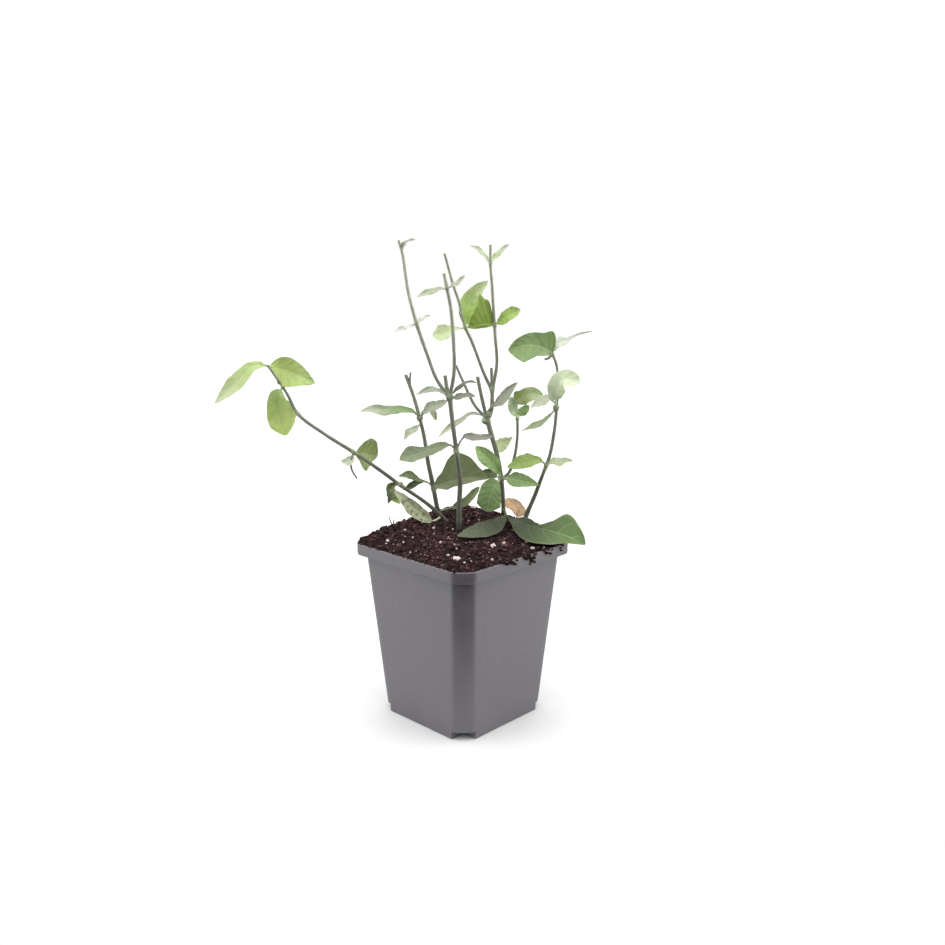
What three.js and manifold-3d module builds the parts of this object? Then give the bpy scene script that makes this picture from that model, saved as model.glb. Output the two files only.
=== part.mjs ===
// A young wintercreeper in a square nursery pot: pot, heaped potting soil, five leafy
// stems, one variegated and one dark leaf that rise from the soil, and a dried leaf.
// Millimetres, +Z up. The origin is on the underside of the pot, at its middle,
// and the pot's four sides face along X and Y.

import * as THREE from 'three';
import { mergeVertices } from 'three/addons/utils/BufferGeometryUtils.js';
import Module from 'manifold-3d';

const wasm = await Module();
wasm.setup();
const { Manifold, Mesh: SolidMesh } = wasm;

// Driving sizes of the pot
const POT_HEIGHT = 101;
const BASE_HALF = 34.5;
const COLLAR_HALF = 42.2;
const RIM_HALF = 46;
const RIM_BAND = 6.5;
const RIM_EASE = 0.4;
const BAND_EASE = 0.3;
const EASE_HEIGHT = 0.8;
const CORNER_RADIUS = 8.3;
const CORNER_FLAT = 0.6;
const WALL = 1.1;
const FLOOR = 1.4;
const NOTCH_HEIGHT = 4.5;
const NOTCH_SIDE = 9.2;
const CORNER_BOX = 30;
const DRAIN_RADIUS = 2.6;
const DRAIN_LENGTH = 6;
const DRAIN_SIDES = 10;
const DRAIN_SHIFT = 1;
const CORNER_STEPS = 5;

// Driving sizes of the soil
const GAP = 0.35;
const SOIL_INSET = GAP * 1.5;
const SOIL_ROUND = 0.6;
const SOIL_RIM_LEVEL = 98.6;
const SOIL_RISE = 6.6;
const SOIL_REACH = 6;
const SOIL_BACK_RISE = 6.5;
const SOIL_BACK_FROM = -18;
const SOIL_BACK_TO = 34;
const SOIL_LUMP = 0.6;
const SOIL_EDGE_LUMP = 0.2;
const SOIL_STEP_BELOW = 0.4;
const SOIL_STEP_ABOVE = 1.4;
const SOIL_RINGS = 7;
const SOIL_SIDE_STEPS = 8;
const SOIL_CORNER_STEPS = 3;
const HOLE_SIDES = 7;
const HOLE_STEPS = 4;

// Driving sizes of the plant
const PLANT_TURN = THREE.MathUtils.degToRad(44);
const BLADE_THICKNESS = 0.65;
const BLADE_ROWS = 6;
const SMALL_ROWS = 4;
const WAVE_TURNS = 9;
const WAVE_SHIFT = 1.7;
const STALK_SHARE = 0.14;
const STALK_RADII = [0.74, 0.5];
const STALK_SIDES = 4;
const STALK_RUN = 0.08;
const STEM_SIDES = 6;
const STEM_STEP = 8;
const STEM_LEAST_STEPS = 3;
const KNUCKLE_SIDES = 6;
const KNUCKLE_LAYERS = 4;
const KNUCKLE_STRETCH = 1.25;
const SMALL_HALF = 4.2;
const LEAST_WIDTH = 0.5;

// Width of an even blade along its length: the two powers shape its base and its tip
const OVATE = [0.55, 0.75];
const OVAL = [0.55, 0.55];
const LANCE = [0.75, 0.95];

// How fast a blade that is given by its widths opens at its foot and closes at its tip
const FOOT_POWER = 0.6;
const TIP_POWER = 0.7;

// Directions that a leaf's upper side turns to: right, away, up
const SLANT = [0, -0.68, 0.73];

// A small repeatable random generator
function seededRandom(seed) {
  let state = seed;
  return () => {
    state = (state * 16807) % 2147483647;
    return state / 2147483647;
  };
}

// Solids from closed meshes and back

function solidOf(geometry) {
  const bare = new THREE.BufferGeometry();
  bare.setAttribute('position', geometry.getAttribute('position').clone());
  if (geometry.index) bare.setIndex(geometry.index.clone());
  const merged = mergeVertices(bare, 1e-4);
  return new Manifold(new SolidMesh({
    numProp: 3,
    vertProperties: new Float32Array(merged.getAttribute('position').array),
    triVerts: new Uint32Array(merged.index.array),
  }));
}

function geometryOf(solid) {
  const mesh = solid.getMesh();
  const geometry = new THREE.BufferGeometry();
  geometry.setAttribute('position', new THREE.BufferAttribute(new Float32Array(mesh.vertProperties), 3));
  geometry.setIndex(new THREE.BufferAttribute(new Uint32Array(mesh.triVerts), 1));
  geometry.computeVertexNormals();
  return geometry;
}

function joined(solids) {
  return solids.reduce((whole, piece) => whole.add(piece));
}

function node(name, solid, colour, roughness) {
  const material = new THREE.MeshStandardMaterial({ color: colour, roughness, metalness: 0 });
  const mesh = new THREE.Mesh(geometryOf(solid), material);
  mesh.name = name;
  return mesh;
}

// Skin over a stack of closed rings with equal point counts, capped at both ends.
// Rings run counter-clockwise seen from the far end of the stack.
function skinned(rings) {
  const count = rings[0].length;
  const positions = rings.flat().flatMap((p) => [p.x, p.y, p.z]);
  const index = [];
  for (let ring = 0; ring + 1 < rings.length; ring += 1) {
    for (let i = 0; i < count; i += 1) {
      const next = (i + 1) % count;
      const a = ring * count + i;
      const b = ring * count + next;
      index.push(a, b, b + count, a, b + count, a + count);
    }
  }
  const capCentre = (ring) => {
    const centre = new THREE.Vector3();
    ring.forEach((p) => centre.add(p));
    centre.divideScalar(count);
    positions.push(centre.x, centre.y, centre.z);
    return positions.length / 3 - 1;
  };
  const first = capCentre(rings[0]);
  const last = capCentre(rings[rings.length - 1]);
  const top = (rings.length - 1) * count;
  for (let i = 0; i < count; i += 1) {
    const next = (i + 1) % count;
    index.push(first, next, i);
    index.push(last, top + i, top + next);
  }
  const geometry = new THREE.BufferGeometry();
  geometry.setAttribute('position', new THREE.Float32BufferAttribute(positions, 3));
  geometry.setIndex(index);
  return geometry;
}

// Pot

// A place on a corner of radius 1, part round and part cut straight across, from 0 to 1 along it
function cornerPoint(turn) {
  const angle = (turn * Math.PI) / 2;
  const { lerp } = THREE.MathUtils;
  return [lerp(Math.cos(angle), 1 - turn, CORNER_FLAT), lerp(Math.sin(angle), turn, CORNER_FLAT)];
}

// A place of the first corner or side, carried round to another of the four
function quarterTurned(x, y, z, corner) {
  const turn = (corner * Math.PI) / 2;
  return new THREE.Vector3(
    x * Math.cos(turn) - y * Math.sin(turn),
    x * Math.sin(turn) + y * Math.cos(turn),
    z,
  );
}

// Square with softened corners, counter-clockwise seen from above
function squareRing(half, radius, z) {
  const points = [];
  const inner = half - radius;
  for (let corner = 0; corner < 4; corner += 1) {
    for (let step = 0; step <= CORNER_STEPS; step += 1) {
      const [x, y] = cornerPoint(step / CORNER_STEPS);
      points.push(quarterTurned(inner + radius * x, inner + radius * y, z, corner));
    }
  }
  return points;
}

// Half width of the outer wall at a height below the rim band
const bandFoot = POT_HEIGHT - RIM_BAND;
const wallHalf = (z) => BASE_HALF + ((COLLAR_HALF - BASE_HALF) * z) / bandFoot;

// Half width of the inside at a height, less an inset
function insideHalf(z, inset) {
  const band = z > bandFoot + WALL ? RIM_HALF - WALL : wallHalf(z) - WALL;
  return band - inset;
}

function potSolid() {
  const outer = skinned([
    squareRing(BASE_HALF, CORNER_RADIUS, 0),
    squareRing(COLLAR_HALF, CORNER_RADIUS, bandFoot),
    squareRing(RIM_HALF - BAND_EASE, CORNER_RADIUS, bandFoot + EASE_HEIGHT / 8),
    squareRing(RIM_HALF, CORNER_RADIUS, bandFoot + EASE_HEIGHT),
    squareRing(RIM_HALF, CORNER_RADIUS, POT_HEIGHT - EASE_HEIGHT),
    squareRing(RIM_HALF - RIM_EASE, CORNER_RADIUS, POT_HEIGHT),
  ]);
  const inner = skinned([
    squareRing(insideHalf(FLOOR, 0), CORNER_RADIUS - WALL, FLOOR),
    squareRing(COLLAR_HALF - WALL, CORNER_RADIUS - WALL, bandFoot + WALL),
    squareRing(RIM_HALF - WALL, CORNER_RADIUS - WALL, bandFoot + WALL + EASE_HEIGHT),
    squareRing(RIM_HALF - WALL, CORNER_RADIUS - WALL, POT_HEIGHT + 1),
  ]);
  let pot = solidOf(outer);
  const shell = pot.subtract(solidOf(inner));
  const pockets = cornerBoxes(NOTCH_SIDE + WALL, NOTCH_HEIGHT + WALL, 0);
  const hollows = cornerBoxes(NOTCH_SIDE, NOTCH_HEIGHT, 1);
  pot = shell.add(pot.intersect(joined(pockets))).subtract(joined(hollows));
  return pot.subtract(joined(drainHoles()));
}

// A box in each corner of the base, reaching inwards from the flat sides
function cornerBoxes(side, height, below) {
  const boxes = [];
  const inside = BASE_HALF - side;
  for (const sx of [-1, 1]) {
    for (const sy of [-1, 1]) {
      const box = new THREE.BoxGeometry(CORNER_BOX, CORNER_BOX, height + below);
      const middle = inside + CORNER_BOX / 2;
      box.translate(sx * middle, sy * middle, (height - below) / 2);
      boxes.push(solidOf(box));
    }
  }
  return boxes;
}

function drainHoles() {
  const holes = [];
  const place = BASE_HALF - NOTCH_SIDE / 2 - DRAIN_SHIFT;
  for (const sx of [-1, 1]) {
    for (const sy of [-1, 1]) {
      const hole = new THREE.CylinderGeometry(DRAIN_RADIUS, DRAIN_RADIUS, DRAIN_LENGTH, DRAIN_SIDES);
      hole.rotateX(Math.PI / 2);
      hole.translate(sx * place, sy * place, NOTCH_HEIGHT + WALL / 2);
      holes.push(solidOf(hole));
    }
  }
  return holes;
}

// Stems and leaves, in the plant's own directions: X right, Y away, Z up

const vector = (p) => new THREE.Vector3(p[0], p[1], p[2]);

function routeOf(points) {
  return new THREE.CatmullRomCurve3(points.map(vector), false, 'centripetal');
}

// The value at a share of the way through a list of values at even steps
function evenly(values, share) {
  const place = share * (values.length - 1);
  const first = Math.min(Math.floor(place), values.length - 2);
  return THREE.MathUtils.lerp(values[first], values[first + 1], place - first);
}

// Round sweep along a route, with its radii at even steps
function tapered(route, radii, sides, steps) {
  const frames = route.computeFrenetFrames(steps, false);
  const rings = [];
  for (let i = 0; i <= steps; i += 1) {
    const share = i / steps;
    const centre = route.getPointAt(share);
    const radius = evenly(radii, share);
    const ring = [];
    for (let side = 0; side < sides; side += 1) {
      const angle = (side / sides) * Math.PI * 2;
      ring.push(centre.clone()
        .addScaledVector(frames.normals[i], Math.cos(angle) * radius)
        .addScaledVector(frames.binormals[i], Math.sin(angle) * radius));
    }
    rings.push(ring);
  }
  return solidOf(skinned(rings));
}

function stemSolid(stem) {
  const route = routeOf(stem.points);
  const steps = Math.max(STEM_LEAST_STEPS, Math.round(route.getLength() / STEM_STEP));
  return tapered(route, stem.thick, STEM_SIDES, steps);
}

function knuckle(point, radius) {
  const ball = new THREE.SphereGeometry(radius, KNUCKLE_SIDES, KNUCKLE_LAYERS);
  ball.rotateX(Math.PI / 2);
  ball.scale(1, 1, KNUCKLE_STRETCH);
  ball.translate(point[0], point[1], point[2]);
  return solidOf(ball);
}

// Width of an even form along the blade, as a share of its widest
function formWidth([base, tip], along) {
  const peak = base / (base + tip);
  const top = peak ** base * (1 - peak) ** tip;
  return (along ** base * (1 - along) ** tip) / top;
}

// Width of one side along the blade: a smooth curve through its widths at even steps, closed at both ends
function sideWidth(widths, along) {
  const steps = widths.length + 1;
  const place = along * steps;
  if (place <= 1) return widths[0] * place ** FOOT_POWER;
  if (place >= steps - 1) return widths[widths.length - 1] * Math.max(0, steps - place) ** TIP_POWER;
  const first = Math.floor(place);
  const start = widths[first - 1];
  const end = widths[first];
  const before = first > 1 ? widths[first - 2] : end - 2 * FOOT_POWER * start;
  const after = first + 1 < widths.length ? widths[first + 1] : start - 2 * TIP_POWER * end;
  const part = place - first;
  const square = part * part;
  const cube = square * part;
  return start * (2 * cube - 3 * square + 1) + end * (3 * square - 2 * cube)
    + ((end - before) / 2) * (cube - 2 * square + part) + ((after - start) / 2) * (cube - square);
}

// Width of a leaf's left or right side at a place along its blade
function bladeWidth(leaf, side, along) {
  const even = () => leaf.half * formWidth(leaf.form ?? OVATE, along);
  return Math.max(leaf.sides ? sideWidth(leaf.sides[side], along) : even(), LEAST_WIDTH);
}

// The widest that a leaf's left or right side gets
function widestOf(leaf, side) {
  return leaf.sides ? Math.max(...leaf.sides[side]) : leaf.half;
}

// A blade that follows its midrib, with two halves folded up from it and waved edges
function bladeSolid(leaf) {
  const route = routeOf(leaf.rib);
  const face = vector(leaf.face);
  const baseFold = leaf.fold ?? [12, 12];
  const tipFold = leaf.tipFold ?? baseFold;
  const wave = leaf.wave ?? 0.5;
  const widest = [widestOf(leaf, 0), widestOf(leaf, 1)];
  const small = Math.max(...widest) < SMALL_HALF;
  const columns = small ? [-1, 0, 1] : [-1, -0.55, 0, 0.55, 1];
  const rows = small ? SMALL_ROWS : BLADE_ROWS;
  const upper = [];
  const lower = [];
  for (let row = 0; row <= rows; row += 1) {
    const along = 0.5 - 0.5 * Math.cos((Math.PI * row) / rows);
    const share = THREE.MathUtils.lerp(leaf.stalk ?? STALK_SHARE, 1, along);
    const centre = route.getPointAt(share);
    const ahead = route.getTangentAt(share);
    const across = new THREE.Vector3().crossVectors(ahead, face).normalize();
    const out = new THREE.Vector3().crossVectors(across, ahead).normalize();
    const widths = [bladeWidth(leaf, 0, along), bladeWidth(leaf, 1, along)];
    const foldAt = (side) => THREE.MathUtils.lerp(baseFold[side], tipFold[side], along);
    const folds = [0, 1].map((side) => THREE.MathUtils.degToRad(foldAt(side)));
    for (const column of columns) {
      const side = column < 0 ? 0 : 1;
      const fold = folds[side];
      const width = widths[side];
      const reach = width * column * Math.cos(fold);
      const phase = along * WAVE_TURNS + (column < 0 ? 0 : WAVE_SHIFT);
      const ripple = wave * column * column * Math.sin(phase) * (width / widest[side]);
      const lift = width * Math.abs(column) * Math.sin(fold) + ripple;
      const top = centre.clone().addScaledVector(across, reach).addScaledVector(out, lift);
      const tilt = column === 0 ? (folds[1] - folds[0]) / 2 : Math.sign(column) * fold;
      const bend = column === 0 ? (folds[0] + folds[1]) / 2 : 0;
      const thickness = BLADE_THICKNESS / Math.cos(bend);
      upper.push(top);
      lower.push(top.clone()
        .addScaledVector(out, -thickness * Math.cos(tilt))
        .addScaledVector(across, thickness * Math.sin(tilt)));
    }
  }
  return solidOf(plateGeometry(upper, lower, columns.length));
}

// A closed plate between two like grids of points, split into triangles alike
function plateGeometry(upper, lower, columns) {
  const rows = upper.length / columns;
  const shift = upper.length;
  const index = [];
  const quad = (a, b, c, d) => index.push(a, b, c, a, c, d);
  for (let row = 0; row + 1 < rows; row += 1) {
    for (let column = 0; column + 1 < columns; column += 1) {
      const a = row * columns + column;
      const c = a + columns + 1;
      quad(a, a + 1, c, c - 1);
      index.push(a + shift, c + shift, a + 1 + shift, a + shift, c - 1 + shift, c + shift);
    }
  }
  const rim = [];
  for (let column = 0; column < columns; column += 1) rim.push(column);
  for (let row = 1; row < rows; row += 1) rim.push(row * columns + columns - 1);
  for (let column = columns - 2; column >= 0; column -= 1) rim.push((rows - 1) * columns + column);
  for (let row = rows - 2; row > 0; row -= 1) rim.push(row * columns);
  rim.forEach((a, place) => {
    const b = rim[(place + 1) % rim.length];
    quad(b, a, a + shift, b + shift);
  });
  const geometry = new THREE.BufferGeometry();
  const points = [...upper, ...lower].flatMap((p) => [p.x, p.y, p.z]);
  geometry.setAttribute('position', new THREE.Float32BufferAttribute(points, 3));
  geometry.setIndex(index);
  return geometry;
}

// A leaf: its stalk, which carries on a little way under the blade, and the blade
function leafSolids(leaf) {
  const route = routeOf(leaf.rib);
  const stalkEnd = (leaf.stalk ?? STALK_SHARE) + STALK_RUN;
  const stalkPoints = [0, 0.5, 1].map((share) => route.getPointAt(share * stalkEnd).toArray());
  const stalk = tapered(routeOf(stalkPoints), STALK_RADII, STALK_SIDES, 2);
  return [stalk, bladeSolid(leaf)];
}

function plantSolid(plant) {
  const pieces = [];
  plant.stems.forEach((stem) => pieces.push(stemSolid(stem)));
  plant.knuckles.forEach(([point, radius]) => pieces.push(knuckle(point, radius)));
  plant.leaves.forEach((leaf) => pieces.push(...leafSolids(leaf)));
  return joined(pieces);
}

// Each stem's route starts in the soil. Points are right, away and up from the origin.
const RECLINING_STEM = {
  name: 'leafy_stem_reclining',
  colour: '#7f9a52',
  stems: [
    { points: [[-3, 15, 98], [-9.5, 15, 108], [-15, 15, 114], [-22, 15, 120], [-36.5, 14.5, 130.5],
      [-48.5, 13, 140], [-61.5, 12, 149.5], [-78.5, 10, 161], [-93, 8, 173], [-98.5, 8, 184],
      [-108.5, 8, 200]], thick: [1.9, 1, 1.05, 1, 0.9, 0.7] },
    { points: [[-63, 11.5, 149], [-64, 9.5, 144.5], [-63.5, 9, 140.5], [-60.5, 8, 135.5]],
      thick: [0.65, 0.45] },
  ],
  knuckles: [
    [[-93, 8, 173], 1.3], [[-62.5, 12, 150], 1.3], [[-36, 14, 131], 1.5], [[-108.5, 8, 200], 0.95],
  ],
  leaves: [
    // Long leaf at the tip, to the left
    { rib: [[-108.5, 8, 200], [-113, 6, 201], [-117.5, 4, 199.5], [-124.5, 2, 192], [-137.5, 0, 180]],
      sides: [[8, 9.5, 9.5, 8.5, 5.5], [4, 6.5, 7, 6, 3.5]], face: [-0.5, -0.6, 0.6], stalk: 0.06 },
    // Broad leaf at the tip, to the right
    { rib: [[-108.5, 8, 200], [-103.5, 12, 198], [-97.5, 13, 195.7], [-90.4, 13, 193.2],
      [-83.7, 13, 189.7]],
      sides: [[6, 8, 7.5, 5.5, 3], [7.5, 9.5, 9.5, 7.5, 4.5]], face: [0.1, -0.88, 0.45], stalk: 0.04 },
    // Round leaf below the tip
    { rib: [[-101.7, 8, 187.3], [-103.8, 12, 182.6], [-104.2, 14, 176], [-103.1, 14, 168.5],
      [-101, 12, 159.9]],
      sides: [[6.2, 8.8, 10, 8.8, 6.4], [5.4, 7.1, 7.9, 8, 6.4]], face: [-0.1, -0.98, 0.15], stalk: 0.04 },
    // Olive leaf behind the stem
    { rib: [[-62.5, 12, 149.5], [-58.5, 16, 148.5], [-54.5, 20.5, 147], [-50.5, 25, 145]],
      sides: [[6, 9, 10, 9, 5.5], [4.5, 8, 9.5, 6.5, 3]], face: [0.1, -1, 0.15], stalk: 0.08 },
    // Small curled leaf
    { rib: [[-62.5, 12, 149.5], [-64, 10, 146.5], [-66.5, 8, 145], [-69.5, 6, 146.5]],
      half: 3, face: [0.2, -0.7, 0.6], form: LANCE, fold: [20, 20] },
    // Dark drooping leaf
    { rib: [[-36, 14, 130.5], [-39.5, 16, 130.5], [-42, 16, 128], [-41.5, 14, 124], [-43.5, 12, 120]],
      sides: [[1.5, 4, 3, 3.5, 1.5], [1.5, 3, 2.5, 3, 1.5]], face: [-0.3, -0.9, 0.2], fold: [24, 24],
      stalk: 0.1 },
    // Side lobe of the dark drooping leaf
    { rib: [[-42, 16, 127], [-41, 15, 125], [-39, 14, 122], [-36.5, 13, 119.5]],
      half: 2.2, face: [-0.2, -0.9, 0.3], form: LANCE, stalk: 0.04 },
    // Variegated leaf that rises from the soil
    { rib: [[-12.5, 15, 111.5], [-17.5, 11, 109.8], [-24, 9, 114.5], [-31.5, 8, 121.5],
      [-40, 10, 128.5]],
      sides: [[3.5, 4.5, 5, 3.5, 2], [3, 3.5, 3.5, 2.5, 2]], face: [0.3, -0.9, 0.3], fold: [10, 18],
      stalk: 0.19 },
  ],
};

const LEFT_STEM = {
  name: 'leafy_stem_left',
  colour: '#6f8f58',
  stems: [
    { points: [[-11, 26, 97], [-13, 25, 105], [-15, 24.5, 112.5], [-18, 23.5, 129.5],
      [-20.5, 22.5, 142.5], [-22.5, 22, 157], [-25, 22, 168.5], [-29, 23, 182.5], [-33, 24, 193.5]],
      thick: [2, 1.3, 1.25, 1.1, 1, 1] },
    { points: [[-30.5, 23.5, 187], [-30.5, 23, 191], [-30, 22.5, 195]], thick: [0.7, 0.6] },
  ],
  knuckles: [
    [[-17, 24, 126.5], 1.6], [[-25, 22, 168.5], 1.9],
  ],
  leaves: [
    // Dark arched leaf
    { rib: [[-17, 24, 126.5], [-21, 22, 130.5], [-25, 20, 132], [-30.5, 18, 135.5], [-37.5, 16, 135.5]],
      sides: [[1, 2, 2.5, 3, 2], [1, 1.5, 2, 2.5, 1.5]], face: SLANT, stalk: 0.26 },
    // Lower lobe of the dark arched leaf
    { rib: [[-22.5, 22, 131], [-27, 20.5, 130.7], [-31.6, 19, 128], [-35.1, 18.5, 126.4]],
      half: 2.2, face: [-0.3, -0.8, 0.5], form: LANCE, stalk: 0.04 },
    // Large leaf behind the centre stem
    { rib: [[-17, 24, 126.5], [-13, 25, 128.5], [-5, 26, 130.5], [4.5, 26, 132.2], [15, 24.5, 132.1]],
      sides: [[6, 13, 16, 13, 6], [4, 3.5, 3.5, 3, 1.5]], face: [0, -0.97, 0.25], stalk: 0.02 },
    // Long waved leaf
    { rib: [[-25, 22, 168.5], [-28.5, 19, 173], [-36, 17, 175], [-44.5, 15, 174.5], [-51.5, 14, 175],
      [-58.5, 13, 174]],
      sides: [[4, 5.5, 5, 5.5, 3.5], [1.5, 2.5, 2.5, 2.5, 2]], face: [0, -0.6, 0.8], wave: 0.8,
      stalk: 0.12 },
    // Pale leaf with a drooping tip
    { rib: [[-25, 22, 168.5], [-22, 19, 172.5], [-18, 16, 173.5], [-15, 13, 168.5]],
      half: 2.6, face: [0.25, -0.6, 0.75] },
    // Pale lower leaf
    { rib: [[-24.5, 22, 165], [-28, 19, 163], [-31, 15, 161.5], [-33.5, 12, 157.5]],
      sides: [[2, 3.5, 3.5, 3, 1.5], [1.5, 2.5, 2.5, 2, 1]], face: [-0.3, -0.8, 0.5], stalk: 0.1 },
    // Dark leaf that rises from the soil
    { rib: [[-14.3, 24.8, 112], [-4, 22, 116], [2.5, 20, 120], [9.5, 20, 128]],
      half: 2.7, face: [-0.3, -0.8, 0.5], form: OVAL, stalk: 0.28 },
  ],
};

const CENTRE_STEM = {
  name: 'leafy_stem_centre',
  colour: '#64805a',
  stems: [
    { points: [[-2, 7, 96], [-2, 4, 108], [-2, 3, 120.5], [-1.5, 2, 135.5], [-3.5, 0, 153.5],
      [-5.5, -2, 170], [-7, -3, 184.5]], thick: [2.1, 1.5, 1.35, 1.25, 1.2, 1.3] },
    { points: [[-7, -3, 183.5], [-14, -3, 193.5], [-19, -2, 206.5], [-25, 0, 224], [-29.5, 3, 241],
      [-32.5, 6, 261], [-34.5, 7, 268]], thick: [1, 0.75] },
    { points: [[-7, -3, 183.5], [-8.5, -1, 188.5], [-9.5, 0, 195.5]], thick: [1.1, 1.05] },
    { points: [[-7, -3, 183.5], [-4.5, -6, 197.5], [-4.5, -8, 211.5], [-6, -9, 232], [-8, -10, 243],
      [-9.5, -10, 250.5]], thick: [1.05, 0.8] },
  ],
  knuckles: [
    [[-3.5, 0, 153], 1.8], [[-7, -3, 184], 2.3], [[-25, 0, 224], 1.25], [[-8, -10, 243], 1.3],
  ],
  leaves: [
    // Broad leaf to the left
    { rib: [[-3.5, 0, 153.5], [-7, -2, 157], [-12, -4, 156.5], [-19.5, -7, 154.5], [-27.5, -10, 152.5],
      [-34.5, -12, 150.5]],
      sides: [[3, 4, 4, 4.5, 5], [3, 3, 3, 5, 5]], face: SLANT, stalk: 0.16 },
    // Waved grey leaf to the right
    { rib: [[-3.5, 0, 153.5], [-1, -1, 159], [1, -2, 161.5], [7.5, -4, 161.5], [12.5, -5, 161.5],
      [16.5, -6, 162.5]],
      half: 2.7, face: [0, -0.6, 0.8], form: OVAL, wave: 0.6, stalk: 0.32 },
    // Pale leaf under the fork
    { rib: [[-7, -3, 183], [-12, -6, 180.5], [-17, -8, 179], [-21, -9, 175.5]],
      half: 3.4, face: [0, -0.6, 0.8], form: OVAL },
    // Thin arched leaf
    { rib: [[-7, -3, 184.5], [-11.5, -5, 187], [-16, -8, 189], [-20, -9, 188], [-25, -10, 186]],
      half: 2, face: SLANT },
    // Thin upper leaf
    { rib: [[-7, -3, 184.5], [-2.5, -2, 188.5], [1.5, -1, 191.5], [5, 0, 192], [8, 1, 191.5]],
      half: 1.2, face: SLANT },
    // Grey leaf right of the fork
    { rib: [[-7, -3, 183], [-2.5, -7, 184.5], [2.5, -10, 185.5], [7, -12, 185.5]],
      half: 2.6, face: [0, -0.6, 0.8] },
    // Small leaf of the left shoot, to the left
    { rib: [[-25, 0, 224], [-29, -2, 222.5], [-32.5, -4, 221.5], [-36.5, -5, 220]],
      half: 1.2, face: SLANT, form: LANCE },
    // Small leaf of the left shoot, to the right
    { rib: [[-25, 0, 224], [-22.5, 3, 226], [-20.5, 5, 227], [-17.5, 6, 228]],
      half: 1.2, face: SLANT, form: LANCE },
    // Leaf at the tip of the left shoot
    { rib: [[-33, 6, 262], [-32, 5, 265.5], [-30, 4, 267.5], [-25.5, 2, 268.5]],
      half: 1.3, face: SLANT },
    // Leaf of the right shoot, to the left
    { rib: [[-8, -10, 243], [-11.5, -13, 242.5], [-17, -15, 241], [-23.5, -16, 238.5]],
      half: 2, face: SLANT },
    // Leaf of the right shoot, to the right
    { rib: [[-8, -10, 243], [-4.5, -8, 244.5], [-1.5, -5, 246.5], [1.5, -3, 249.5]],
      half: 1.5, face: SLANT },
  ],
};

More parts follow.
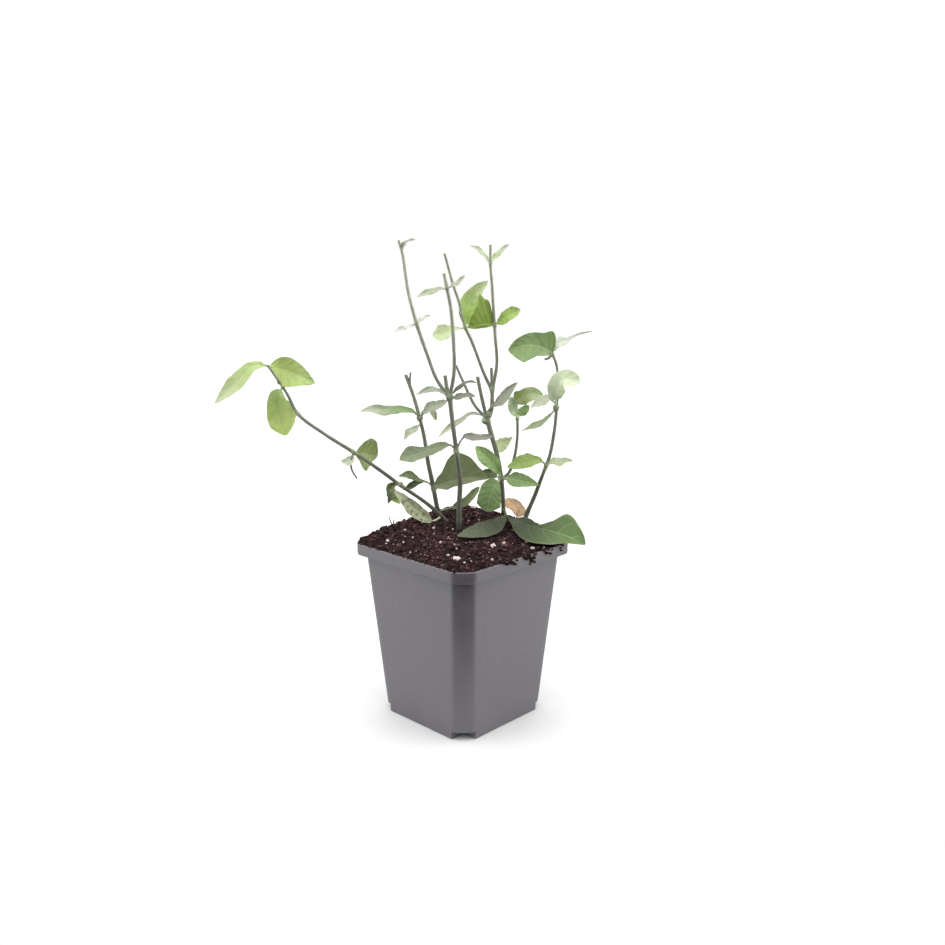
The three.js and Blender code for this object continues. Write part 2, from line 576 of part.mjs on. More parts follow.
const BRANCHED_STEM = {
  name: 'leafy_stem_branched',
  colour: '#66855a',
  stems: [
    { points: [[23.5, 22, 96], [24, 22, 109.5], [23.5, 22, 121], [22.5, 22, 132.5], [20, 22, 146.5],
      [16.5, 22, 159], [14, 22, 168.5]], thick: [1.9, 1.25, 1.3, 1.4, 1.5] },
    { points: [[14, 22, 168], [7, 24, 175.5], [3, 26, 183], [-0.5, 27, 190.5], [-4, 28, 198.5]],
      thick: [0.95, 0.75] },
    { points: [[14, 22, 168], [12, 20, 176], [10, 18, 185], [8.5, 17, 193]], thick: [1.05, 1] },
    { points: [[14, 22, 168], [16.5, 22, 173], [17, 22, 185]], thick: [1.2, 1.05] },
    { points: [[17, 22, 184], [16.5, 24, 197.5]], thick: [0.95, 0.9] },
    { points: [[17, 22, 184], [12.5, 23, 193.5], [5, 23, 213], [1.5, 23, 220.5], [-2, 22, 234.5],
      [-5.5, 21, 245], [-10, 19, 261.5]], thick: [0.95, 0.7] },
    { points: [[17, 22, 184], [19.5, 20, 200.5], [18.5, 18, 215], [18, 17, 222], [16.5, 15, 243.5],
      [15.5, 14, 256], [15.5, 13, 266]], thick: [0.95, 0.7] },
    { points: [[22.5, 22, 132.5], [24.5, 22.5, 133.5], [27.5, 24, 136.5], [30.5, 26, 145.5],
      [32, 28, 156.5], [32, 29, 167.5]], thick: [0.95, 0.75] },
  ],
  knuckles: [
    [[22.5, 22, 132.5], 2], [[14.5, 22, 170.5], 2.4], [[13, 22, 167], 2.2], [[17, 22, 185], 1.5],
    [[1.5, 23, 220.5], 1.3], [[18, 17, 222], 1.3], [[15.5, 14, 256], 1.1], [[32, 29, 167], 1.3],
  ],
  leaves: [
    // Upper leaf of the low four
    { rib: [[22.5, 22, 132.5], [20, 18, 139], [14.5, 15, 146], [7.5, 13, 153.5]],
      sides: [[2.5, 3.5, 4.5, 5, 4], [3, 4.5, 4.5, 4, 3]], face: [0, -0.9, 0.45] },
    // Right leaf of the low four
    { rib: [[22.5, 22, 132.5], [28.5, 19, 133], [35.5, 15, 132.5], [44, 12, 131]],
      sides: [[4, 4.8, 4.6, 3.6, 2], [4.5, 5.5, 5.5, 4.5, 2.5]], face: SLANT },
    // Dark leaf behind the trunk
    { rib: [[21.5, 23, 133], [18.5, 26, 133.5], [15, 29, 134], [10.5, 31, 134.5]],
      half: 3, face: [0, -0.9, 0.4], form: OVAL },
    // Broad leaf in front of the trunk
    { rib: [[22.5, 22, 132.5], [18.5, 16, 129.5], [15.5, 13, 122.5], [14, 12, 115]],
      sides: [[3, 5, 6.5, 7, 6.5], [5, 7, 7, 7, 6]], face: [0, -0.96, 0.25] },
    // Pale leaf behind the trunk
    { rib: [[18, 22.5, 152.5], [18, 25, 153.7], [21, 28, 153], [25.5, 30, 153.5], [29.5, 31, 156]],
      sides: [[2.5, 3, 2.5, 2.5, 1], [5, 6, 4.5, 2.5, 1]], face: [0.1, -0.95, 0.1], stalk: 0.24 },
    // Grey leaf right of the fork
    { rib: [[14.5, 22, 171.5], [15.3, 21, 173.8], [19, 18, 178.5], [24, 14, 183.5], [31, 11, 190.5]],
      sides: [[0.5, 1.5, 2.5, 2.5, 1.5], [3, 5, 5.5, 4.5, 2]], face: [-0.4, -0.8, 0.5], stalk: 0.17 },
    // Pale leaf left of the fork
    { rib: [[13.5, 22, 169], [9.5, 24, 170.5], [4.5, 25, 170.5], [-1.5, 26, 166.5], [-7.5, 27, 162.5],
      [-14.5, 27, 156.5]],
      half: 1.9, face: SLANT, form: OVAL },
    // Large leaf of the left shoot
    { rib: [[1.5, 23, 220.5], [2.5, 25, 227.5], [4, 28, 234], [8, 29, 240], [14.5, 30, 246.5]],
      sides: [[4.5, 5.5, 5.5, 4.5, 3], [3, 5, 5.5, 3.5, 2]], face: [0.1, -0.95, 0.3], stalk: 0.04 },
    // Pale leaf of the left shoot
    { rib: [[1.5, 23, 220.5], [-4, 26, 219.5], [-9.5, 29, 217.5], [-17.5, 31, 215.5]],
      sides: [[1, 3.5, 5, 5.5, 5], [1, 3, 4, 5, 4.5]], face: [0, -0.8, 0.6], stalk: 0.08 },
    // Vivid folded leaf of the right shoot
    { rib: [[18, 17, 222.5], [14, 14.5, 222.5], [9, 12, 222], [3, 10, 221]],
      sides: [[1, 1.5, 1.5, 1.5, 1.5, 1], [12, 14.5, 17, 11.5, 8, 4.5]], face: [0.5, -0.85, 0.1],
      fold: [0, 0], stalk: 0.02 },
    // Light leaf of the right shoot
    { rib: [[18, 17, 222.5], [21.5, 14, 225], [26, 11, 228], [32, 9, 231]],
      sides: [[2, 3.5, 4, 4, 3], [3, 4, 4, 4, 3]], face: [-0.2, -0.85, 0.5], stalk: 0.1 },
    // Small tip leaf, to the left
    { rib: [[15.5, 14, 256], [13, 12, 259.5], [9.5, 10, 263], [4.5, 8, 265.5]],
      half: 1.6, face: SLANT },
    // Small tip leaf, to the right
    { rib: [[15.5, 14, 256], [17.5, 16, 259], [21, 18, 262.5], [26, 20, 266.5]],
      half: 1.7, face: SLANT },
    // Broad leaf of the side branch
    { rib: [[32, 29, 167.5], [30, 27, 175], [35, 24, 181], [40.5, 23, 182.5], [47, 22, 181]],
      sides: [[4.5, 4, 4.5, 4, 2.5], [4, 6, 5.5, 5, 3.5]], face: [-0.1, -0.85, 0.5], stalk: 0.34 },
    // Light leaf of the side branch
    { rib: [[32, 29, 167.5], [30, 25, 172], [28.5, 22, 176.5], [27.5, 20, 181]],
      half: 3.2, face: [0.2, -0.9, 0.3], form: OVAL },
    // Small dark leaf of the side branch
    { rib: [[32, 29, 167.5], [34, 31, 170], [36.5, 32, 172], [39, 33, 174.5]],
      half: 2.8, face: [0, -0.9, 0.4] },
    // Large leaf over the rim
    { rib: [[24.5, 21.5, 112.5], [27, 14, 111], [32.5, 5, 111], [40.5, -1, 109.5], [49.5, -4, 108],
      [59, -5, 105], [69.5, -6, 100.5]],
      sides: [[4.5, 5, 3, 7.5, 14.5, 9.5], [4, 10, 15, 15, 10, 5]], face: [0, -0.32, 0.95], fold: [0, 0],
      tipFold: [30, 4], wave: 0.3 },
    // Leaf that lies on the soil
    { rib: [[24, 21, 114.5], [24.5, 10, 113.5], [18, 2, 111], [10, -5, 109], [3, -10, 108],
      [-3, -13, 107.5]],
      sides: [[5, 8, 8, 7, 4.5], [2.5, 4, 5, 4, 3]], face: [0.1, -0.42, 0.9], fold: [8, 8], stalk: 0.25 },
  ],
};

const RIGHT_STEM = {
  name: 'leafy_stem_right',
  colour: '#86a862',
  stems: [
    { points: [[33, 18, 97], [35, 18, 103.5], [37.5, 18, 112], [42, 18, 123], [46, 17.5, 134.5],
      [50, 17, 146], [52, 16.5, 156.5], [53.5, 16, 171], [53.5, 16, 198.5], [51, 17, 206]],
      thick: [1.7, 1.2, 1, 0.95, 0.85, 0.75] },
    { points: [[51, 17, 206], [48.5, 16.5, 203.5], [46.5, 16, 203]], thick: [0.75, 0.7] },
  ],
  knuckles: [
    [[48.5, 17, 141.5], 1.4], [[53.5, 16, 175.5], 1.9], [[51, 17, 206], 1.1],
  ],
  leaves: [
    // Bright leaf of the low pair
    { rib: [[48.5, 17, 141.5], [44, 14.5, 145.5], [35.5, 11, 144], [25.5, 9, 142]],
      sides: [[3.5, 4, 4, 3.5, 3], [2, 5.5, 5.5, 5, 3]], face: SLANT },
    // Pale leaf of the low pair
    { rib: [[48.5, 17, 141.5], [52, 21, 142.5], [58, 24, 142.5], [65, 26, 142.5]],
      sides: [[2, 3.5, 3.5, 3, 2], [4, 5, 4, 2, 1]], face: [0, -0.5, 0.85] },
    // Very pale raised leaf
    { rib: [[53.5, 16, 176], [53, 13, 184.5], [56.5, 10, 192], [66, 7, 191]],
      half: 6.3, face: [-0.2, -0.75, 0.62], form: OVAL },
    // Light leaf behind the stem
    { rib: [[53.5, 16, 177.5], [49, 16, 181], [44, 14, 178.5], [38.5, 12, 176]],
      half: 3.6, face: [0, -0.5, 0.8], form: LANCE },
    // Thin dark leaf
    { rib: [[53, 16, 174.5], [48, 13, 170], [44, 11, 167.5], [39.5, 9, 165.5], [33.5, 8, 163.5]],
      sides: [[1.5, 2, 2.5, 2.5, 1.5], [1, 1.5, 2, 2, 1]], face: [0, -0.5, 0.85], stalk: 0.1 },
    // Large leaf at the tip
    { rib: [[51, 17, 206], [46.5, 14.5, 209], [40.5, 13, 211], [33.5, 11, 211], [25.5, 10, 208.5]],
      sides: [[4, 6, 8, 9.5, 9.5], [10, 8, 7, 5.5, 3.5]], face: [0, -0.93, 0.35], stalk: 0.01 },
    // Thin leaf at the tip
    { rib: [[51, 17, 206], [53.5, 19, 211], [59, 21, 213.5], [65.5, 22, 216.5], [73.5, 23, 218.5]],
      sides: [[1.5, 3.2, 1.2, 0.7, 0.5], [2.5, 3, 1.2, 0.7, 0.5]], face: [0.1, -0.6, 0.8], stalk: 0.04 },
  ],
};

const DRIED_LEAF = {
  name: 'dried_leaf',
  colour: '#c79a78',
  stems: [],
  knuckles: [],
  leaves: [
    { rib: [[32, 21, 98], [31.5, 24, 106.5], [32.7, 28, 110.8], [30.7, 32, 114.8], [26.3, 36, 117.6]],
      sides: [[5, 6.5, 7, 6.5, 5], [5, 5, 4, 3, 2]], face: [0.2, -0.7, 0.7], fold: [20, 10], wave: 0.8,
      stalk: 0.43 },
  ],
};

const PLANTS = [RECLINING_STEM, LEFT_STEM, CENTRE_STEM, BRANCHED_STEM, RIGHT_STEM];

// Soil

// Height of the soil over a place in the pot's own directions, without its lumps
function soilLevel(x, y) {
  const mouth = insideHalf(POT_HEIGHT, 0);
  const edge = Math.max(0, Math.min(mouth - Math.abs(x), mouth - Math.abs(y)));
  const away = -x * Math.sin(PLANT_TURN) + y * Math.cos(PLANT_TURN);
  const back = THREE.MathUtils.smoothstep(away, SOIL_BACK_FROM, SOIL_BACK_TO);
  return SOIL_RIM_LEVEL + SOIL_RISE * (1 - Math.exp(-edge / SOIL_REACH)) + SOIL_BACK_RISE * back;
}

// The soil's outline at a height, with its corners and its straight sides stepped alike
function soilRing(half, z) {
  const radius = Math.min(CORNER_RADIUS - WALL, half * SOIL_ROUND);
  const inner = half - radius;
  const points = [];
  for (let corner = 0; corner < 4; corner += 1) {
    for (let step = 0; step < SOIL_CORNER_STEPS; step += 1) {
      const [x, y] = cornerPoint(step / SOIL_CORNER_STEPS);
      points.push(quarterTurned(inner + radius * x, inner + radius * y, z, corner));
    }
    for (let step = 0; step < SOIL_SIDE_STEPS; step += 1) {
      points.push(quarterTurned(inner - (2 * inner * step) / SOIL_SIDE_STEPS, half, z, corner));
    }
  }
  return points;
}

function soilSolid() {
  const random = seededRandom(11);
  const bottom = FLOOR + GAP;
  const neck = insideHalf(bandFoot, SOIL_INSET);
  const top = insideHalf(POT_HEIGHT, SOIL_INSET);
  const rings = [
    soilRing(insideHalf(bottom, SOIL_INSET), bottom),
    soilRing(neck, bandFoot + WALL + SOIL_STEP_BELOW),
    soilRing(top, bandFoot + WALL + SOIL_STEP_ABOVE),
  ];
  for (let ring = 0; ring < SOIL_RINGS; ring += 1) {
    const layer = soilRing(top * (1 - ring / SOIL_RINGS), 0);
    const most = ring === 0 ? SOIL_EDGE_LUMP : SOIL_LUMP;
    layer.forEach((p) => {
      p.z = soilLevel(p.x, p.y) + THREE.MathUtils.lerp(-most, most, random());
    });
    rings.push(layer);
  }
  let soil = solidOf(skinned(rings));
  soil = soil.subtract(joined(cornerBoxes(NOTCH_SIDE + WALL + GAP, NOTCH_HEIGHT + WALL + GAP, 1)));
  return soil.subtract(joined(rootHoles()));
}

// A hole round the foot of each stem and of the dried leaf, wider than it and a little deeper
function rootHoles() {
  const turn = new THREE.Matrix4().makeRotationZ(PLANT_TURN);
  const feet = [];
  PLANTS.forEach(({ stems: [main] }) => {
    feet.push({ points: main.points.slice(0, 3), radius: main.thick[0] });
  });
  feet.push({ points: DRIED_LEAF.leaves[0].rib.slice(0, 3), radius: STALK_RADII[0] });
  return feet.map(({ points, radius }) => {
    const [root, ground, above] = points.map(vector);
    const down = root.clone().sub(ground).normalize();
    const start = root.clone().addScaledVector(down, GAP);
    const route = new THREE.CatmullRomCurve3([start, root, ground, above], false, 'centripetal');
    const hole = tapered(route, [radius + 2 * GAP, radius + 2 * GAP], HOLE_SIDES, HOLE_STEPS);
    return hole.transform(turn.elements);
  });
}

// The object

const object = new THREE.Group();
object.add(node('square_pot', potSolid(), '#7c7a80', 0.5));
object.add(node('potting_soil', soilSolid(), '#3f3033', 0.95));

const plantGroup = new THREE.Group();
plantGroup.rotation.z = PLANT_TURN;
[...PLANTS, DRIED_LEAF].forEach((plant) => {
  plantGroup.add(node(plant.name, plantSolid(plant), plant.colour, 0.55));
});
object.add(plantGroup);

export default object;
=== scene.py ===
"""A potted wintercreeper: the finish of its pot, soil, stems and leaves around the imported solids.

Lengths are millimetres until a mesh is made, and metres in the scene. The plant is laid out in its
own directions, right, away and up, which are turned against the flat sides of its square pot.
"""

import logging
import math
from collections.abc import Iterable, Sequence
from dataclasses import dataclass
from enum import Enum
from random import Random

import bmesh
import bpy
from mathutils import Matrix, Vector, noise
from mathutils.kdtree import KDTree


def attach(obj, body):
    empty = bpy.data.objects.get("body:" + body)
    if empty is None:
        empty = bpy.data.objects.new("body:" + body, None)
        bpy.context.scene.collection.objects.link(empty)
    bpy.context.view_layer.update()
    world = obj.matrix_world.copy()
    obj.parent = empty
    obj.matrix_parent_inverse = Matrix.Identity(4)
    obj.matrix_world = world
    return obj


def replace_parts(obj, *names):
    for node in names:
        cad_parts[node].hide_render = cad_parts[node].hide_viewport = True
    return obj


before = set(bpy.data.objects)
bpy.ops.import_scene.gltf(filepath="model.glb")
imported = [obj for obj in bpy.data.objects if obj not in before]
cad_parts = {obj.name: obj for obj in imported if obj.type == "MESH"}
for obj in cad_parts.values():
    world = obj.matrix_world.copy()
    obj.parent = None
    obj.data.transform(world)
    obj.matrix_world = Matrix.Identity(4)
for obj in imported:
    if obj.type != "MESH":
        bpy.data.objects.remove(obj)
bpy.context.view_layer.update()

log = logging.getLogger("wintercreeper")

Colour = tuple[float, float, float, float]
Point = tuple[float, float, float]
Material = bpy.types.Material
Tree = bpy.types.NodeTree
Node = bpy.types.Node
Socket = bpy.types.NodeSocket
Value = float | Sequence[float] | Socket
Inputs = dict[str | int, Value]
Faces = list[tuple[int, ...]]
Level = tuple[float, float, float, float]

MILLIMETRE = 0.001
BODY = "root"
POT_SPACE = Matrix.Scale(MILLIMETRE, 4)
PLANT_TURN = math.radians(44)
PLANT_SPACE = POT_SPACE @ Matrix.Rotation(PLANT_TURN, 4, "Z")
SHARP_ANGLE = math.radians(38)
CORNERS = ((-1, -1), (-1, 1), (1, -1), (1, 1))

# Pairs of side veins in a leaf, and how far they sweep towards its tip, by which power of the way out
VEIN_PAIRS = 6.0
VEIN_SWEEP = 1.1
VEIN_POWER = 1.25


def shade(red: int, green: int, blue: int) -> Colour:
    """Turns a colour as displayed, its parts from 0 to 255, into the linear one that shaders take."""
    linear = []
    for part in (red, green, blue):
        share = part / 255
        linear.append(share / 12.92 if share <= 0.04045 else ((share + 0.055) / 1.055) ** 2.4)
    return (linear[0], linear[1], linear[2], 1.0)


def blend_colours(first: Colour, second: Colour, share: float) -> Colour:
    """Goes from the first colour to the second by a share."""
    mixed = [a + (b - a) * share for a, b in zip(first, second)]
    return (mixed[0], mixed[1], mixed[2], 1.0)


def lerp(first: float, second: float, share: float) -> float:
    """Goes from the first number to the second by a share."""
    return first + (second - first) * share


def smoothstep(value: float, low: float, high: float) -> float:
    """Rises smoothly from 0 at low to 1 at high."""
    share = min(1.0, max(0.0, (value - low) / (high - low)))
    return share * share * (3 - 2 * share)


class Route:
    """A smooth curve through listed points, with places on it given as shares of its length."""

    SAMPLES = 200
    LOOK = 0.002

    def __init__(self, points: Iterable[Sequence[float]]) -> None:
        """Measures the curve through these points."""
        self.points = [Vector(point) for point in points]
        self.lengths = [0.0]
        last = self._place(0.0)
        for step in range(1, self.SAMPLES + 1):
            here = self._place(step / self.SAMPLES)
            self.lengths.append(self.lengths[-1] + (here - last).length)
            last = here

    @property
    def length(self) -> float:
        """The curve's whole length."""
        return self.lengths[-1]

    def _place(self, part: float) -> Vector:
        """The point at a part of the way, counted in points and not in length."""
        points = self.points
        place = (len(points) - 1) * part
        first = min(int(place), len(points) - 2)
        weight = place - first
        start, end = points[first], points[first + 1]
        before = points[first - 1] if first > 0 else start * 2 - end
        after = points[first + 2] if first + 2 < len(points) else end * 2 - start
        spans = ((before, start), (start, end), (end, after))
        behind, here, ahead = (math.sqrt((b - a).length) or 1.0 for a, b in spans)
        left = (start - before) / behind - (end - before) / (behind + here) + (end - start) / here
        right = (end - start) / here - (after - start) / (here + ahead) + (after - end) / ahead
        left, right = left * here, right * here
        square, cube = weight * weight, weight * weight * weight
        return (
            start * (2 * cube - 3 * square + 1)
            + left * (cube - 2 * square + weight)
            + end * (3 * square - 2 * cube)
            + right * (cube - square)
        )

    def at(self, share: float) -> Vector:
        """The point at a share of the length."""
        wanted = self.length * min(1.0, max(0.0, share))
        low, high = 0, self.SAMPLES
        while high - low > 1:
            middle = (low + high) // 2
            if self.lengths[middle] <= wanted:
                low = middle
            else:
                high = middle
        span = self.lengths[high] - self.lengths[low]
        part = low + (wanted - self.lengths[low]) / span if span else low
        return self._place(part / self.SAMPLES)

    def ahead(self, share: float) -> Vector:
        """The direction of travel at a share of the length."""
        return (self.at(share + self.LOOK) - self.at(share - self.LOOK)).normalized()


FIRST_SIDE: Point = (0.3, -0.9, 0.2)


def crosswise(path: Sequence[Vector]) -> list[tuple[Vector, Vector]]:
    """Finds two directions across a path at each of its points, carried along it without twist.

    Args:
        path: The points of the path.

    Returns:
        A pair of directions for each point.
    """
    pairs = []
    side = Vector(FIRST_SIDE)
    for place in range(len(path)):
        behind = path[max(0, place - 1)]
        before = path[min(len(path) - 1, place + 1)]
        ahead = (before - behind).normalized()
        side = (side - ahead * side.dot(ahead)).normalized()
        pairs.append((side, ahead.cross(side)))
    return pairs


class Skin:
    """A mesh while it is gathered: points, faces and the values and colours kept on the points."""

    def __init__(self, name: str, space: Matrix = POT_SPACE) -> None:
        """Starts an empty mesh.

        Args:
            name: The piece's name.
            space: Turns the points' own lengths and directions into the scene's.
        """
        self.name = name
        self.space = space
        self.points: list[Vector] = []
        self.faces: Faces = []
        self.values: dict[str, list[float]] = {}
        self.colours: dict[str, list[Colour]] = {}

    def add(
        self,
        points: Sequence[Vector],
        faces: Iterable[Sequence[int]],
        values: dict[str, Sequence[float]] | None = None,
        colours: dict[str, Sequence[Colour]] | None = None,
    ) -> None:
        """Adds a group of points and the faces between them.

        Args:
            points: The points.
            faces: Faces as places in that list of points.
            values: Numbers kept on the points, by name.
            colours: Colours kept on the points, by name.
        """
        first = len(self.points)
        self.points.extend(points)
        self.faces.extend(tuple(place + first for place in face) for face in faces)
        for name, row in (values or {}).items():
            self.values.setdefault(name, [0.0] * first).extend(row)
        for name, colour_row in (colours or {}).items():
            self.colours.setdefault(name, [(0.0, 0.0, 0.0, 1.0)] * first).extend(colour_row)

    def piece(self, finish: Material, slot: str) -> bpy.types.Object:
        """Makes the mesh an object that rides on the part's body.

        Args:
            finish: Its material.
            slot: The name of a material slot; not used.

        Returns:
            The new object.
        """
        mesh = bpy.data.meshes.new(self.name)
        mesh.from_pydata([self.space @ point for point in self.points], [], self.faces)
        for name, row in self.values.items():
            mesh.attributes.new(name, "FLOAT", "POINT").data.foreach_set("value", row)
        for name, colour_row in self.colours.items():
            flat = [part for colour in colour_row for part in colour]
            mesh.attributes.new(name, "FLOAT_COLOR", "POINT").data.foreach_set("color", flat)
        mesh.update()
        return finished_piece(self.name, mesh, finish)


def finished_piece(name: str, mesh: bpy.types.Mesh, finish: Material) -> bpy.types.Object:
    """Makes a mesh an object that rides on the part's body, shaded smooth except at its sharp edges.

    Args:
        name: The piece's name.
        mesh: Its mesh.
        finish: Its material.

    Returns:
        The new object.
    """
    mesh.name = name
    mesh.materials.clear()
    mesh.materials.append(finish)
    mesh.shade_smooth()
    mesh.set_sharp_from_angle(angle=SHARP_ANGLE)
    made = bpy.data.objects.new(name, mesh)
    bpy.context.scene.collection.objects.link(made)
    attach(made, BODY)
    log.info("%s: %d faces", name, len(mesh.polygons))
    return made


def lattice_faces(rows: int, columns: int, closed: bool) -> Faces:
    """Lists the faces of a grid of points.

    Args:
        rows: Number of rows of points.
        columns: Number of points in each row.
        closed: Whether each row runs back to its first point.

    Returns:
        The four-sided faces, which look outwards where rows run counter-clockwise and stack upwards.
    """
    faces = []
    for row in range(rows - 1):
        for column in range(columns if closed else columns - 1):
            near = row * columns + column
            beside = row * columns + (column + 1) % columns
            faces.append((near, beside, beside + columns, near + columns))
    return faces


def tube(
    path: Sequence[Vector], radii: Sequence[float], sides: int, ridge: float = 0.0
) -> tuple[list[Vector], Faces]:
    """Makes a closed round skin along a path.

    Args:
        path: The points along its middle.
        radii: Its radius at each of them.
        sides: Number of sides.
        ridge: Share of the radius by which four low ridges stand out.

    Returns:
        Its points, ring after ring with the two end points last, and its faces.
    """
    points = []
    for place, (point, (side, up)) in enumerate(zip(path, crosswise(path))):
        for turn in range(sides):
            angle = 2 * math.pi * turn / sides
            radius = radii[place] * (1 + ridge * math.cos(4 * angle))
            points.append(point + side * math.cos(angle) * radius + up * math.sin(angle) * radius)
    faces = lattice_faces(len(path), sides, True)
    first, last = len(points), len(points) + 1
    points.extend((path[0].copy(), path[-1].copy()))
    top = (len(path) - 1) * sides
    for turn in range(sides):
        beside = (turn + 1) % sides
        faces.append((first, beside, turn))
        faces.append((last, top + turn, top + beside))
    return points, faces


class Graph:
    """A short way to place the nodes of one tree and join them."""

    def __init__(self, tree: Tree) -> None:
        """Takes the tree that the nodes go into."""
        self.tree = tree

    def node(self, kind: str, inputs: Inputs | None = None, **settings: object) -> Node:
        """Places a node.

        Args:
            kind: The node's type.
            inputs: What goes into its sockets, by name or place.
            settings: The node's own settings.

        Returns:
            The node.
        """
        made = self.tree.nodes.new(kind)
        for name, setting in settings.items():
            setattr(made, name, setting)
        self.feed(made, inputs or {})
        return made

    def feed(self, node: Node, inputs: Inputs) -> None:
        """Fills a node's sockets, each with a value or from another node's socket."""
        for name, value in inputs.items():
            if isinstance(value, Socket):
                self.tree.links.new(value, node.inputs[name])
            else:
                node.inputs[name].default_value = value

    def math(self, operation: str, first: Value, second: Value = 0.0, clamp: bool = False) -> Socket:
        """Works out one sum of two values and gives its result."""
        made = self.node("ShaderNodeMath", {0: first, 1: second}, operation=operation, use_clamp=clamp)
        return made.outputs[0]

    def plus(self, first: Value, second: Value) -> Socket:
        """Adds two values."""
        return self.math("ADD", first, second)

    def times(self, first: Value, second: Value) -> Socket:
        """Multiplies two values."""
        return self.math("MULTIPLY", first, second)

    def along(self, place: Socket, direction: Sequence[float]) -> Socket:
        """Measures a place along a direction."""
        made = self.node("ShaderNodeVectorMath", {0: place, 1: direction}, operation="DOT_PRODUCT")
        return made.outputs["Value"]

    def fit(self, value: Value, low: Value, high: Value, start: float = 0.0, end: float = 1.0) -> Socket:
        """Fits a value that goes from low to high smoothly onto start to end."""
        inputs = {0: value, 1: low, 2: high, 3: start, 4: end}
        return self.node("ShaderNodeMapRange", inputs, interpolation_type="SMOOTHSTEP").outputs[0]

    def mix(self, share: Value, first: Value, second: Value, how: str = "MIX") -> Socket:
        """Mixes two colours by a share and gives the result."""
        inputs = {0: share, 6: first, 7: second}
        return self.node("ShaderNodeMix", inputs, data_type="RGBA", blend_type=how).outputs[2]

    def place(self) -> Socket:
        """Gives the place on the piece, in metres."""
        return self.node("ShaderNodeTexCoord").outputs["Object"]

    def noise(
        self, scale: Value, detail: float = 3.0, roughness: float = 0.55, squash: float = 1.0
    ) -> Socket:
        """Gives fine random clouding over the piece.

        Args:
            scale: Clouds per metre.
            detail: How many finer layers it has.
            roughness: How strong the finer layers are.
            squash: Scale of heights, below 1 to draw the clouds out upwards.

        Returns:
            The clouding, from 0 to 1 and mostly near its middle.
        """
        place = self.place()
        if squash != 1.0:
            stretch = {0: place, 1: (1.0, 1.0, squash)}
            place = self.node("ShaderNodeVectorMath", stretch, operation="MULTIPLY").outputs[0]
        inputs = {"Vector": place, "Scale": scale, "Detail": detail, "Roughness": roughness}
        return self.node("ShaderNodeTexNoise", inputs).outputs[0]

    def bump(self, strength: float, depth: float, height: Socket, invert: bool = False) -> Socket:
        """Turns a height over the surface, in shares of a depth in metres, into its normal."""
        inputs = {"Strength": strength, "Distance": depth, "Height": height}
        return self.node("ShaderNodeBump", inputs, invert=invert).outputs[0]

    def value(self, name: str) -> Socket:
        """Reads the value that is kept on the mesh's points under a name."""
        return self.node("ShaderNodeAttribute", attribute_name=name).outputs["Fac"]

    def colour(self, name: str) -> Socket:
        """Reads the colour that is kept on the mesh's points under a name."""
        return self.node("ShaderNodeAttribute", attribute_name=name).outputs["Color"]

    def group(self, tree: Tree, inputs: Inputs) -> dict[str, Socket]:
        """Places a shared group and gives its outputs by name."""
        made = self.node("ShaderNodeGroup", inputs, node_tree=tree)
        return {socket.name: socket for socket in made.outputs}


